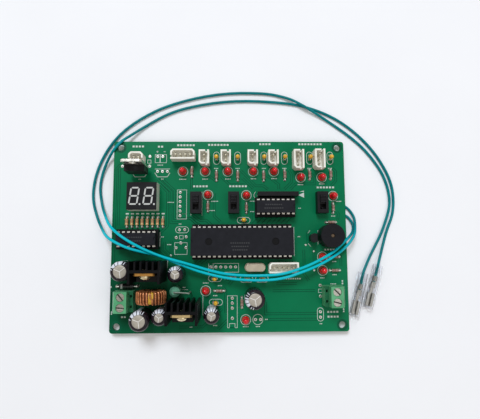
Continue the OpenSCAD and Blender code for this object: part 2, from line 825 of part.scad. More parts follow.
module small_transistor() {
    color("black") on_board(small_transistor_at) translate([0, 0, small_transistor_low])
        difference() {
            rod(small_transistor_r, small_transistor_h);
            translate([1.4, -3, -1]) cube([3, 6, small_transistor_h + 2]);
        }
}

// A lead out of the end of a lying part and down into the board
module bent_lead(from, to, z, r) {
    translate([from, 0, z]) x_rod(r, to - from);
    translate([to, 0, 0]) rod(r, z + r);
}

module component_leads() {
    color("silver") {
        for (c = RESISTORS, s = [0, 180])
            on_board(c, c[2] + s) bent_lead(resistor_l / 2, pitch, resistor_z - top, lead_r);
        for (c = CERAMICS, s = [0, 180]) on_board(c, c[2] + s) {
            translate([pitch / 2, 0, 0]) rod(lead_r, ceramic_low + ceramic_r);
            translate([0.4, 0, ceramic_low + ceramic_r - lead_r])
                x_rod(lead_r, pitch / 2 - 0.4 + lead_r);
        }
        for (p = PACKAGE_PINS) on_board(p) slab(0.8, 0.5, package_low);
        for (p = NETWORK_PINS) on_board(p) slab(0.5, 0.3, network_low);
        for (p = TRANSISTOR_PINS) on_board(p) slab(0.45, 0.4, small_transistor_low);
        for (s = [0, 180])
            on_board(diode_at, s) bent_lead(diode_l / 2, diode_span / 2, diode_z, 0.4);
        on_board(suppressor_at) translate([0, 0, suppressor_h]) rod(0.4, suppressor_rise);
        on_board(suppressor_at, -4) translate([0, 0, suppressor_h + suppressor_rise - 0.4])
            x_rod(0.4, norm(suppressor_pad - suppressor_at));
        on_board(suppressor_pad) rod(0.4, suppressor_h + suppressor_rise);
    }
}

// A lead wire: one eight-sided tube round the smooth curve through its route
module wire(path) {
    p = smooth(path);
    n = len(p);
    m = wire_sides;
    color("darkcyan") polyhedron(
        points = [for (i = [0:n - 1]) each ring(p, i)],
        faces = concat(
            [[for (k = [0:m - 1]) k]],
            [for (i = [0:n - 2], k = [0:m - 1])
                [i * m + k, (i + 1) * m + k, i * m + (k + 1) % m]],
            [for (i = [0:n - 2], k = [0:m - 1])
                [(i + 1) * m + k, (i + 1) * m + (k + 1) % m, i * m + (k + 1) % m]],
            [[for (k = [0:m - 1]) n * m - 1 - k]]
        )
    );
}

module inner_wire() {
    wire(INNER_PATH);
}

module outer_wire() {
    wire(OUTER_PATH);
}

// A female push-on terminal, drawn along +X from its insulation crimp
module terminal(mouth, turn) {
    color("lightgray") translate([mouth[0], mouth[1], sleeve_z]) rotate([0, 0, turn])
        translate([terminal_start, 0, 0]) difference() {
            union() {
                x_rod(crimp_r, crimp_l);
                translate([crimp_l + 0.5, -1, -crimp_r]) cube([3, 2, 1.7]);
                translate([0, -0.75, -crimp_r]) cube([receptacle_x + 0.1, 1.5, 0.4]);
                translate([receptacle_x, -receptacle_w / 2, -crimp_r])
                    cube([terminal_l - receptacle_x, receptacle_w, 1.8]);
            }
            translate([-1, 0, 0]) x_rod(wire_r / cos(180 / wire_sides) + 0.03, crimp_l + 1.5);
            translate([receptacle_x - 1, -receptacle_w / 2 + 0.4, -crimp_r + 0.4])
                cube([terminal_l, receptacle_w - 0.8, 1]);
            translate([receptacle_x - 1, -0.4, 0]) cube([terminal_l, 0.8, 2]);
        }
}

module inner_terminal() {
    terminal(inner_mouth, inner_turn);
}

module outer_terminal() {
    terminal(outer_mouth, outer_turn);
}

// A clear flattened sleeve, open at both ends, lying on the surface
module sleeve(mouth, turn) {
    color("lightblue") translate([mouth[0], mouth[1], sleeve_z]) rotate([0, 0, turn])
        rotate([90, 0, 90]) difference() {
            stadium(sleeve_w, sleeve_t_out, sleeve_l);
            translate([0, 0, -1])
                stadium(sleeve_w - 2 * sleeve_wall, sleeve_t_out - 2 * sleeve_wall, sleeve_l + 2);
        }
}

module inner_sleeve() {
    sleeve(inner_mouth, inner_turn);
}

module outer_sleeve() {
    sleeve(outer_mouth, outer_turn);
}

circuit_board();
solder_joints();
display_case();
display_face();
chip_sockets();
main_chip();
driver_chip();
buffer_chip();
chip_legs();
resistor_network();
lamp_header();
sensor_header();
run_key_headers();
door_headers();
motor_sensor_headers();
control_header();
header_pins();
run_switch_housing();
door_switch_housing();
auto_switch_housing();
run_switch_knob();
door_switch_knob();
auto_switch_knob();
switch_contacts();
power_terminal_block();
motor_terminal_block();
terminal_bars();
power_screw_1();
power_screw_2();
motor_screw_1();
motor_screw_2();
power_clamp_1();
power_clamp_2();
motor_clamp_1();
motor_clamp_2();
buzzer();
power_packages();
power_package_tabs();
rear_heat_sink();
front_heat_sink();
regulator_screws();
inductor_core();
inductor_winding();
capacitor_cans();
capacitor_sleeves();
ceramic_capacitors();
resistors();
indicator_leds();
rectifier_diode();
surge_suppressor();
crystal();
small_transistor();
component_leads();
inner_wire();
outer_wire();
inner_terminal();
outer_terminal();
inner_sleeve();
outer_sleeve();
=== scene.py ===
"""Looks of the automatic door's control board and its two loose lead wires.

The solids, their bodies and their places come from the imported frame. All lengths here are
millimetres unless a name says otherwise, and are scaled once, when a mesh is made.
"""
import math

import bpy
from mathutils import Matrix, Vector


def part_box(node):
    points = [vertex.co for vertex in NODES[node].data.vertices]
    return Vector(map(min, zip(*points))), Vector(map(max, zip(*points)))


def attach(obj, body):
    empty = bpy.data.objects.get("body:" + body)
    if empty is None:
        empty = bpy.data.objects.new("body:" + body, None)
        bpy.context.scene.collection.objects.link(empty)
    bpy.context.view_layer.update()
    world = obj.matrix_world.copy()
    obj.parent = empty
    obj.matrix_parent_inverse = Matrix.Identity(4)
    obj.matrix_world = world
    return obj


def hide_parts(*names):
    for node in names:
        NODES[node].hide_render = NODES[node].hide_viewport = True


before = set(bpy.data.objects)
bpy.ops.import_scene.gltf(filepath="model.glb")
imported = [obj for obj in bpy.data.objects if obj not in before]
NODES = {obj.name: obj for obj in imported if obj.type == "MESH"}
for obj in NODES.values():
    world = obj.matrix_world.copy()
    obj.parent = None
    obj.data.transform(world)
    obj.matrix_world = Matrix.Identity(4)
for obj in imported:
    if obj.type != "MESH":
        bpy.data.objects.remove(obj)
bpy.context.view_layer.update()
MM = 0.001

# ---------------------------------------------------------------- camera
# It looks straight down, a little tilted towards the far edge.
TILT, YAW, ROLL = (math.radians(a) for a in (5.767, 1.284, 0.173))
CAMERA_AT = Vector((0.875, -6.674, 200.735)) * MM
FOCAL = 28.23
SENSOR_WIDTH = 36


def make_camera():
    """The camera, turned from straight down by its three small angles."""
    data = bpy.data.cameras.new("camera")
    data.lens, data.sensor_width, data.clip_start = FOCAL, SENSOR_WIDTH, 10 * MM
    cam = bpy.data.objects.new("camera", data)
    bpy.context.scene.collection.objects.link(cam)
    to_view = (
        Matrix.Rotation(YAW, 3, "Y") @ Matrix.Rotation(-TILT, 3, "X") @ Matrix.Rotation(ROLL, 3, "Z")
    )
    cam.matrix_world = Matrix.Translation(CAMERA_AT) @ to_view.transposed().to_4x4()
    bpy.context.scene.camera = cam


make_camera()

# ---------------------------------------------------------------- materials


def material(
    name, color, rough=0.5, metal=0.0, vary=0.12, size=2.0, grain=0.0, grain_size=0.15,
    bevel=0.0, rough_vary=0.08, coat=0.0, other=None, clear=0.0, ior=1.45, spec=0.5,
):
    """A principled material: mottled colour and roughness, a fine grain, and rounded edges."""
    mat = bpy.data.materials.new(name)
    mat.use_nodes = True
    tree = mat.node_tree
    new, link = tree.nodes.new, tree.links.new
    bsdf = tree.nodes["Principled BSDF"]
    bsdf.inputs["Metallic"].default_value = metal
    bsdf.inputs["Coat Weight"].default_value = coat
    bsdf.inputs["Coat Roughness"].default_value = 0.08
    bsdf.inputs["Transmission Weight"].default_value = clear
    bsdf.inputs["IOR"].default_value = ior
    bsdf.inputs["Specular IOR Level"].default_value = spec
    coords = new("ShaderNodeTexCoord")
    mottle = new("ShaderNodeTexNoise")
    mottle.inputs["Scale"].default_value = 1 / (size * MM)
    mottle.inputs["Detail"].default_value = 4
    link(coords.outputs["Object"], mottle.inputs["Vector"])
    ramp = new("ShaderNodeValToRGB")
    low = [c * (1 - vary) for c in color]
    high = list(other) if other else [min(1, c * (1 + vary)) for c in color]
    ramp.color_ramp.elements[0].position, ramp.color_ramp.elements[1].position = 0.3, 0.7
    ramp.color_ramp.elements[0].color = (*low, 1)
    ramp.color_ramp.elements[1].color = (*high, 1)
    link(mottle.outputs["Fac"], ramp.inputs["Fac"])
    link(ramp.outputs["Color"], bsdf.inputs["Base Color"])
    spread = new("ShaderNodeMapRange")
    spread.inputs["To Min"].default_value = max(0.02, rough - rough_vary)
    spread.inputs["To Max"].default_value = min(1, rough + rough_vary)
    link(mottle.outputs["Fac"], spread.inputs["Value"])
    link(spread.outputs["Result"], bsdf.inputs["Roughness"])
    normal = None
    if bevel:
        rounding = new("ShaderNodeBevel")
        rounding.samples = 4
        rounding.inputs["Radius"].default_value = bevel * MM
        normal = rounding.outputs["Normal"]
    if grain:
        fine = new("ShaderNodeTexNoise")
        fine.inputs["Scale"].default_value = 1 / (grain_size * MM)
        link(coords.outputs["Object"], fine.inputs["Vector"])
        bump = new("ShaderNodeBump")
        bump.inputs["Strength"].default_value = grain
        bump.inputs["Distance"].default_value = 0.05 * MM
        link(fine.outputs["Fac"], bump.inputs["Height"])
        if normal:
            link(normal, bump.inputs["Normal"])
        normal = bump.outputs["Normal"]
    if normal:
        link(normal, bsdf.inputs["Normal"])
    return mat


def board_material():
    """Green solder mask: darker towards one corner as painted shade, with the fibre weave faintly showing."""
    mat = material("solder_mask", (0.0, 0.165, 0.066), rough=0.34, vary=0.06, size=14, grain=0.1,
                   grain_size=0.5, bevel=0.15, rough_vary=0.06, spec=0.12)
    tree = mat.node_tree
    new, link = tree.nodes.new, tree.links.new
    bsdf = tree.nodes["Principled BSDF"]
    old = bsdf.inputs["Base Color"].links[0].from_socket
    coords = new("ShaderNodeTexCoord")
    place = new("ShaderNodeMapping")
    place.vector_type = "POINT"
    place.inputs["Location"].default_value = (0.95, 0.72, 0)
    place.inputs["Scale"].default_value = (18, 21, 0)
    corner_shade = new("ShaderNodeTexGradient")
    corner_shade.gradient_type = "SPHERICAL"
    link(coords.outputs["Object"], place.inputs["Vector"])
    link(place.outputs["Vector"], corner_shade.inputs["Vector"])
    # painted shade: the mask colour is multiplied darker towards one corner
    shade = new("ShaderNodeMix")
    shade.data_type, shade.blend_type = "RGBA", "MULTIPLY"
    shade.inputs["B"].default_value = (0.6, 0.36, 0.38, 1)
    link(corner_shade.outputs["Fac"], shade.inputs["Factor"])
    link(old, shade.inputs["A"])
    link(shade.outputs["Result"], bsdf.inputs["Base Color"])
    return mat


def wire_material():
    """Thin teal insulation, painted paler where it runs high over the board: painted light, with the low runs
    left darker as painted shade.
    """
    mat = material("wire_insulation", (0.0, 0.19, 0.21), rough=0.34, vary=0.1, size=5, grain=0.05,
                   spec=0.16)
    tree = mat.node_tree
    new, link = tree.nodes.new, tree.links.new
    bsdf = tree.nodes["Principled BSDF"]
    old = bsdf.inputs["Base Color"].links[0].from_socket
    coords = new("ShaderNodeTexCoord")
    split = new("ShaderNodeSeparateXYZ")
    lit_by_height = new("ShaderNodeMapRange")
    lit_by_height.interpolation_type = "SMOOTHSTEP"
    lit_by_height.inputs["From Min"].default_value = 3 * MM
    lit_by_height.inputs["From Max"].default_value = 9 * MM
    # painted light: the colour turns to a pale teal as the wire rises from 3 to 9 mm
    mix = new("ShaderNodeMix")
    mix.data_type = "RGBA"
    mix.inputs["B"].default_value = (0.0, 0.5, 0.6, 1)
    link(coords.outputs["Object"], split.inputs["Vector"])
    link(split.outputs["Z"], lit_by_height.inputs["Value"])
    link(lit_by_height.outputs["Result"], mix.inputs["Factor"])
    link(old, mix.inputs["A"])
    link(mix.outputs["Result"], bsdf.inputs["Base Color"])
    return mat


M = {
    "pcb": board_material(),
    "wire": wire_material(),
    "solder": material("solder", (0.62, 0.61, 0.57), 0.3, 0.9, size=0.8, grain=0.15),
    "ink": material("printed_ink", (0.58, 0.63, 0.6), 0.6, vary=0.06, size=0.6, grain=0.1, spec=0.3),
    "dim_ink": material("laser_mark", (0.05, 0.052, 0.055), 0.6, vary=0.2, size=0.4, spec=0.2),
    "track": material("track_edge", (0.0, 0.036, 0.02), 0.4, vary=0.15, size=3, grain=0.05, spec=0.1),
    "ring": material("bare_ring", (0.0, 0.085, 0.04), 0.4, vary=0.1, size=3, grain=0.05, spec=0.15),
    "shell": material("display_shell", (0.7, 0.79, 0.76), 0.45, vary=0.08, size=4, grain=0.1, bevel=0.2,
                      other=(0.76, 0.74, 0.64)),
    "face": material("display_face", (0.008, 0.008, 0.01), 0.35, size=4, grain=0.1, bevel=0.1, spec=0.2),
    "segment": material("segments", (0.55, 0.56, 0.55), 0.5, vary=0.05, size=2),
    "socket": material("socket_plastic", (0.006, 0.006, 0.007), 0.5, grain=0.25, bevel=0.15, spec=0.13),
    "chip": material("chip_epoxy", (0.013, 0.0135, 0.018), 0.48, vary=0.15, size=3, grain=0.35,
                     grain_size=0.1, bevel=0.25, spec=0.13),
    "tin": material("tinned_metal", (0.78, 0.76, 0.7), 0.3, 0.85, size=0.7, grain=0.1, bevel=0.06),
    "terminal": material("terminal_metal", (0.36, 0.35, 0.32), 0.32, 0.85, vary=0.2, size=0.9, grain=0.2,
                         bevel=0.1),
    # The near-black steel of the screw slots is painted shade in the recess.
    "slot": material("screw_slot_painted_shade", (0.035, 0.033, 0.03), 0.5, 0.3, vary=0.3, size=0.5),
    "network": material("network_coating", (0.006, 0.006, 0.008), 0.3, grain=0.2, bevel=0.4, spec=0.3),
    "nylon": material("header_nylon", (0.9, 0.87, 0.78), 0.5, vary=0.04, size=3, grain=0.1, bevel=0.18,
                      other=(0.93, 0.92, 0.86)),
    "gold": material("plated_pin", (0.6, 0.55, 0.42), 0.35, 0.5, size=0.5, bevel=0.08),
    "switch": material("switch_plastic", (0.008, 0.008, 0.01), 0.42, grain=0.2, bevel=0.2, spec=0.22),
    "knob": material("knob_plastic", (0.012, 0.012, 0.015), 0.38, grain=0.2, bevel=0.1, spec=0.3),
    "green": material("terminal_plastic", (0.07, 0.34, 0.15), 0.38, vary=0.1, size=4, grain=0.1,
                      bevel=0.2, other=(0.12, 0.42, 0.21), spec=0.35),
    # The darker green of the terminal blocks' low ledges is painted shade on the same plastic.
    "ledge_shade_green": material("terminal_plastic_painted_shade", (0.012, 0.13, 0.055), 0.42, vary=0.12, size=4,
                           grain=0.1, bevel=0.2, spec=0.25),
    "steel": material("screw_steel", (0.46, 0.45, 0.4), 0.32, 0.9, vary=0.2, size=0.6, grain=0.3,
                      grain_size=0.08, bevel=0.12),
    "buzzer": material("buzzer_plastic", (0.009, 0.009, 0.012), 0.42, grain=0.2, bevel=0.3, spec=0.15),
    "brown": material("buzzer_mesh", (0.12, 0.075, 0.04), 0.6, vary=0.3, size=0.4, grain=0.3),
    "epoxy": material("package_epoxy", (0.007, 0.007, 0.009), 0.4, grain=0.25, bevel=0.2, spec=0.25),
    "dull": material("dull_lead", (0.2, 0.24, 0.2), 0.4, 0.4, vary=0.2, size=1),
    "tab": material("tab_metal", (0.8, 0.77, 0.7), 0.28, 0.9, size=1.5, grain=0.1, bevel=0.12),
    "brass": material("tab_brass", (0.5, 0.25, 0.06), 0.36, 0.8, size=1.5, grain=0.1, bevel=0.12),
    "pale_gold": material("tab_pale_gold", (0.66, 0.5, 0.24), 0.34, 0.8, size=1.5, grain=0.1, bevel=0.12),
    "sink": material("sink_anodised", (0.004, 0.004, 0.005), 0.45, vary=0.3, size=1.5, grain=0.3,
                     grain_size=0.2, bevel=0.12, spec=0.13),
    "bolt": material("bolt_plating", (0.82, 0.7, 0.45), 0.25, 0.9, size=0.7, grain=0.1, bevel=0.15),
    # The core's dark copper-brown is painted shade between the coil's turns.
    "core": material("core_painted_shade", (0.15, 0.045, 0.016), 0.45, vary=0.25, size=1, grain=0.2, spec=0.3),
    "core_gold": material("core_mark", (0.62, 0.36, 0.03), 0.45, vary=0.2, size=1, grain=0.2),
    "copper": material("enamelled_copper", (0.5, 0.15, 0.045), 0.28, 0.7, vary=0.3, size=1.6, coat=0.2,
                       other=(0.8, 0.34, 0.15)),
    "can": material("can_top", (0.44, 0.4, 0.34), 0.4, 0.25, vary=0.1, size=2, grain=0.15),
    "score": material("can_score", (0.84, 0.82, 0.79), 0.3, 0.1, size=0.5, bevel=0.05),
    "film": material("shrink_film", (0.012, 0.007, 0.012), 0.24, size=2, coat=0.25, spec=0.25),
    "stripe": material("film_stripe", (0.72, 0.75, 0.84), 0.3, vary=0.06, size=2, coat=0.3),
    "ceramic": material("dipped_ceramic", (0.74, 0.36, 0.012), 0.24, vary=0.25, size=0.8, grain=0.15,
                        coat=0.3, other=(0.86, 0.5, 0.03)),
    "tan": material("resistor_tan", (0.6, 0.36, 0.17), 0.35, vary=0.1, size=0.6, coat=0.3),
    "pink": material("resistor_pink", (0.36, 0.24, 0.2), 0.35, vary=0.15, size=0.6, coat=0.2),
    "band_red": material("band_red", (0.22, 0.05, 0.03), 0.35, coat=0.3),
    "band_dark": material("band_dark", (0.05, 0.03, 0.025), 0.35, coat=0.3),
    "band_gold": material("band_gold", (0.5, 0.32, 0.1), 0.35, 0.3, coat=0.3),
    "led": material("led_lens", (0.62, 0.005, 0.01), 0.12, vary=0.2, size=2.5, coat=0.7, rough_vary=0.03,
                    spec=0.35),
    "glass_dark": material("diode_body", (0.012, 0.012, 0.012), 0.25, coat=0.4, grain=0.1),
    "band_grey": material("diode_band", (0.5, 0.5, 0.48), 0.4),
    "mint": material("suppressor_body", (0.11, 0.34, 0.22), 0.32, vary=0.1, size=2, coat=0.15, bevel=0.3),
    "crystal": material("crystal_can", (0.62, 0.55, 0.43), 0.3, 0.8, vary=0.1, size=3, grain=0.1,
                        bevel=0.35),
    "sleeve": material("clear_sleeve", (0.97, 0.98, 1.0), 0.06, clear=1.0, ior=1.14, vary=0.01, size=6,
                       rough_vary=0.03, grain=0.1, grain_size=1.5, bevel=0.1),
    "floor": material("floor", (0.93, 0.935, 0.972), 0.9, vary=0.01, size=60, grain=0.02, grain_size=3),
}

# ---------------------------------------------------------------- mesh building


class Build:
    """Collects shapes in millimetres, with a material number for each face."""

    def __init__(self):
        self.v, self.f, self.m, self.s = [], [], [], []

    def add(self, verts, faces, mat=0, smooth=False, at=None):
        at = at or Matrix.Identity(4)
        base = len(self.v)
        self.v += [at @ Vector(p) for p in verts]
        for i, face in enumerate(faces):
            self.f.append([base + k for k in face])
            self.m.append(mat[i] if isinstance(mat, list) else mat)
            self.s.append(smooth)

    def prism(self, outline, z0, z1, mat=0, at=None):
        n = len(outline)
        verts = [(x, y, z) for z in (z0, z1) for x, y in outline]
        faces = [list(range(n))[::-1], list(range(n, 2 * n))]
        faces += [[i, (i + 1) % n, n + (i + 1) % n, n + i] for i in range(n)]
        self.add(verts, faces, mat, at=at)

    def box(self, lo, hi, mat=0, at=None):
        self.prism([(lo[0], lo[1]), (hi[0], lo[1]), (hi[0], hi[1]), (lo[0], hi[1])],
                   lo[2], hi[2], mat, at)

    def loop(self, inner, outer, z0, z1, mat=0, at=None):
        """A flat band between two outlines with the same number of points."""
        n = len(inner)
        verts = [(x, y, z) for line, z in ((outer, z0), (outer, z1), (inner, z1), (inner, z0))
                 for x, y in line]
        faces = []
        for a in range(4):
            b = (a + 1) % 4
            faces += [[a * n + i, a * n + (i + 1) % n, b * n + (i + 1) % n, b * n + i]
                      for i in range(n)]
        self.add(verts, faces, mat, at=at)

    def strip(self, points, width, z0, z1, mat=0, shift=0.0):
        """A flat ribbon along an open line, moved sideways by shift."""
        pts = [Vector(p) for p in points]
        left, right = [], []
        for i, p in enumerate(pts):
            a = (p - pts[i - 1]).normalized() if i else None
            b = (pts[i + 1] - p).normalized() if i + 1 < len(pts) else None
            d = ((a or b) + (b or a)).normalized()
            side = Vector((-d.y, d.x))
            grow = 1 / max(0.4, d.dot(a or b))
            left.append(p + side * (shift + width / 2) * grow)
            right.append(p + side * (shift - width / 2) * grow)
        for i in range(len(pts) - 1):
            self.prism([right[i], right[i + 1], left[i + 1], left[i]], z0, z1, mat)

    def lathe(self, profile, mat=0, at=None, sides=32, pick=None, smooth=True, caps=True):
        """Turns a profile of (radius, height) round Z. pick(ring, side) gives a face's material."""
        verts, faces, mats, n = [], [], [], len(profile)
        for r, z in profile:
            verts += [(r * math.cos(2 * math.pi * k / sides), r * math.sin(2 * math.pi * k / sides), z)
                      for k in range(sides)]
        for i in range(n - 1):
            for k in range(sides):
                q = (k + 1) % sides
                faces.append([i * sides + k, i * sides + q, (i + 1) * sides + q, (i + 1) * sides + k])
                mats.append(pick(i, k) if pick else mat)
        self.add(verts, faces, mats, smooth, at)
        if not caps:
            return
        low = [tuple(verts[k]) for k in range(sides)]
        high = [tuple(verts[(n - 1) * sides + k]) for k in range(sides)]
        ends = [pick(0, 0) if pick else mat, pick(n - 2, 0) if pick else mat]
        self.add(low, [list(range(sides))[::-1]], ends[0], False, at)
        self.add(high, [list(range(sides))], ends[1], False, at)

    def make(self, name, mats, slot, body="board", replaces=()):
        mesh = bpy.data.meshes.new(name)
        mesh.from_pydata([tuple(p * MM) for p in self.v], [], self.f)
        for key in mats:
            mesh.materials.append(M[key])
        mesh.polygons.foreach_set("material_index", self.m)
        mesh.polygons.foreach_set("use_smooth", self.s)
        mesh.update()
        obj = bpy.data.objects.new(name, mesh)
        bpy.context.scene.collection.objects.link(obj)
        weld = obj.modifiers.new("weld", "WELD")
        weld.merge_threshold = 0.0005 * MM
        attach(obj, body)
        if replaces:
            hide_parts(*replaces)
        return obj


def islands(node):
    """The box of each separate solid of a CAD node, in millimetres, sorted by place."""
    mesh = NODES[node].data
    ids, parent = {}, []

    def find(i):
        while parent[i] != i:
            parent[i] = parent[parent[i]]
            i = parent[i]
        return i

    index = []
    for v in mesh.vertices:
        key = tuple(round(c / MM, 3) for c in v.co)
        if key not in ids:
            ids[key] = len(parent)
            parent.append(len(parent))
        index.append(ids[key])
    for poly in mesh.polygons:
        vs = [find(index[i]) for i in poly.vertices]
        for k in vs[1:]:
            parent[find(k)] = find(vs[0])
    groups = {}
    for key, i in ids.items():
        groups.setdefault(find(i), []).append(key)
    boxes = []
    for pts in groups.values():
        lo = Vector([min(p[a] for p in pts) for a in range(3)])
        hi = Vector([max(p[a] for p in pts) for a in range(3)])
        boxes.append((lo, hi))
    return sorted(boxes, key=lambda b: (round(b[0].x, 1), round(b[0].y, 1)))


def span(node):
    lo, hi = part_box(node)
    return lo / MM, hi / MM


TOP = span("circuit_board")[1].z


def move(x, y, z=0.0, turn=0.0):
    return Matrix.Translation((x, y, z)) @ Matrix.Rotation(math.radians(turn), 4, "Z")


def circle(x, y, r, n=36):
    return [(x + r * math.cos(2 * math.pi * k / n), y + r * math.sin(2 * math.pi * k / n))
            for k in range(n)]


def capsule(x, y, length, width, turn, n=10):
    """A stadium outline, long along its own x."""
    pts = []
    for end, start in ((1, -90), (-1, 90)):
        for k in range(n + 1):
            a = math.radians(start + 180 * k / n)
            pts.append(((length - width) / 2 * end + width / 2 * math.cos(a), width / 2 * math.sin(a)))
    c, s = math.cos(math.radians(turn)), math.sin(math.radians(turn))
    return [(x + c * p - s * q, y + s * p + c * q) for p, q in pts]


def rect(x0, y0, x1, y1):
    return [(x0, y0), (x1, y0), (x1, y1), (x0, y1)]


# ---------------------------------------------------------------- lead wires
WIRE_R = 0.7
INNER_ROUTE = [
    (56.5, 13, 0.7), (60, 11.2, 0.7), (63.6, 8.8, 0.7), (65.6, 5.2, 1.3), (64.9, 1.6, 2.9),
    (62, -1.8, 4.7), (57.6, -5.5, 6.8), (53, -9, 8.6), (48.2, -11.7, 9.8), (34.5, -17.6, 11.5),
    (26, -19.9, 11.4), (14, -20.8, 9.6), (-1, -20, 8.9), (-23.7, -13.9, 11.3), (-33.5, -11, 12.7),
    (-43.5, -6.8, 13.3), (-54.2, -0.4, 13.6), (-59.3, 3.6, 11.1), (-64.5, 10.3, 5.1),
    (-67.8, 17.5, 1.1), (-68.9, 25, 0.7), (-64.2, 41, 2.6), (-61, 45.3, 4.5), (-57.5, 49.4, 4.5),
    (-53, 53.5, 2.4), (-44, 60, 0.7), (-31, 66.9, 0.7), (-15, 71.2, 0.7), (22, 73, 0.7),
    (40, 70.6, 0.7), (57, 64, 0.7), (71.5, 53, 0.7), (81.5, 40.5, 0.7), (87.6, 26.5, 0.7),
    (87.8, 12.5, 0.7), (83.6, 0.8, 0.7), (80.2, -9.5, 1.4),
]
OUTER_ROUTE = [
    (57, 17.5, 0.7), (64, 13.2, 0.7), (66.3, 9, 1.4), (66.2, 4.8, 3.1), (64.9, -0.4, 5.3),
    (61.6, -5, 6.3), (57.5, -8.6, 6.9), (46.7, -14.9, 9.5), (34.5, -19.6, 11.4),
    (29.5, -21.3, 11.2), (9, -23, 9.8), (-14.8, -18.7, 9.3), (-26, -14.5, 9.9), (-35, -10.7, 10.9),
    (-44, -8.5, 12), (-51, -6.4, 12.8), (-56, -4.1, 13), (-61, -1.4, 10.5), (-66, 3.2, 4.6),
    (-70, 10, 1.2), (-72.4, 19, 0.7), (-72, 28.5, 0.7), (-68.8, 39.5, 0.7), (-62.4, 50.6, 0.7),
    (-40, 67.7, 0.7), (-24, 73.5, 0.7), (12, 78, 0.7), (25, 76.9, 0.7), (33.5, 74.2, 1.5),
    (40, 70.4, 2.5), (46, 67, 1.7), (54, 62, 0.7), (77, 42, 0.7), (84, 30, 0.7), (86.2, 17, 0.7),
    (82.8, 5, 0.7), (72.6, -14.8, 1.4),
]
SLEEVE_Z, TERMINAL_START, CRIMP_END = 2.1, 6.0, 9.1


def into_sleeve(mouth, turn):
    c, s = math.cos(math.radians(turn)), math.sin(math.radians(turn))
    return [(mouth[0] + d * c, mouth[1] + d * s, SLEEVE_Z) for d in (0, TERMINAL_START, CRIMP_END)]


def smooth(points, steps=6):
    """The same smooth curve as the solid's, never below the surface."""
    p = [Vector(q) for q in points]

    def slope(i):
        """Direction of the curve at a point: the shorter of its two spans weighs more."""
        back, on = p[i] - p[max(i - 1, 0)], p[min(i + 1, len(p) - 1)] - p[i]
        near, far = back.length, on.length
        if not near or not far:
            return (back + on) / (near + far)
        return (back * far / near + on * near / far) / (near + far)

    out = []
    for i in range(len(p) - 1):
        b, c = p[i], p[i + 1]
        reach = (c - b).length
        for k in range(steps):
            t = k / steps
            q = (b + (c - b) * t * t * (3 - 2 * t)
                 + (slope(i) * (1 - t) - slope(i + 1) * t) * reach * t * (1 - t))
            q.z = max(q.z, WIRE_R)
            out.append(q)
    return out + [p[-1]]


def tube(name, points, radius, mat, cyclic=False):
    data = bpy.data.curves.new(name, "CURVE")
    data.dimensions = "3D"
    data.bevel_depth = radius * MM
    data.bevel_resolution = 4
    data.use_fill_caps = not cyclic
    spline = data.splines.new("POLY")
    spline.points.add(len(points) - 1)
    for point, q in zip(spline.points, points):
        point.co = (*(Vector(q) * MM), 1)
    spline.use_cyclic_u = cyclic
    spline.use_smooth = True
    data.materials.append(M[mat])
    obj = bpy.data.objects.new(name, data)
    bpy.context.scene.collection.objects.link(obj)
    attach(obj, "board")
    return obj


def lead_wire(side, route, mouth, turn):
    wire = tube(side + "_lead", smooth(route + into_sleeve(mouth, turn)), WIRE_R, "wire")
    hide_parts(side + "_wire")
    tuple(c * MM for c in route[0])


lead_wire("inner", INNER_ROUTE, (78, -16.25), -106)
lead_wire("outer", OUTER_ROUTE, (70, -20.25), -104.5)

# ---------------------------------------------------------------- finishes of the solids
FINISH = {
    "pcb": ["circuit_board"], "solder": ["solder_joints"], "shell": ["display_case"],
    "face": ["display_face"], "socket": ["chip_sockets"],
    "chip": ["main_chip", "driver_chip", "buffer_chip"],
    "tin": ["chip_legs", "component_leads", "terminal_bars"],
    "terminal": ["inner_terminal", "outer_terminal"],
    "network": ["resistor_network"],
    "nylon": ["lamp_header", "sensor_header", "run_key_headers", "door_headers",
              "motor_sensor_headers", "control_header"],
    "gold": ["header_pins"],
    "switch": ["run_switch_housing", "door_switch_housing", "auto_switch_housing", "switch_contacts"],
    "green": ["power_terminal_block", "motor_terminal_block"],
    "steel": [f"{b}_{p}_{i}" for b in ("power", "motor") for p in ("screw", "clamp") for i in (1, 2)],
    "buzzer": ["buzzer"], "epoxy": ["power_packages", "small_transistor"],
    "tab": ["power_package_tabs"], "sink": ["rear_heat_sink", "front_heat_sink"],
    "bolt": ["regulator_screws"], "core": ["inductor_core"], "ceramic": ["ceramic_capacitors"],
    "mint": ["surge_suppressor"], "crystal": ["crystal"],
    "sleeve": ["inner_sleeve", "outer_sleeve"],
}
for key, names in FINISH.items():
    for name in names:
        data = NODES[name].data
        data.materials.clear()
        data.materials.append(M[key])


def part_faces(node, key, chosen):
    """Gives the faces of a solid that chosen(face) picks a further material."""
    data = NODES[node].data
    data.materials.append(M[key])
    for face in data.polygons:
        if chosen(face):
            face.material_index = len(data.materials) - 1


LEDGE_BELOW = 10.3 * MM          # a terminal block's own top face is higher than this
SLOT_DEPTH = 1.6 * MM
SUPPRESSOR_X = (-30 * MM, -17 * MM)
SUPPRESSOR_Y = (-31 * MM, -26 * MM)
FRONT_TAB_Y = -25 * MM           # the front regulator's tab lies nearer than this
# The up-facing ledge faces below each block's top get a darker green: painted shade.
for node in ("power_terminal_block", "motor_terminal_block"):
    part_faces(node, "ledge_shade_green", lambda face: face.normal.z > 0.3 and face.center.z < LEDGE_BELOW)
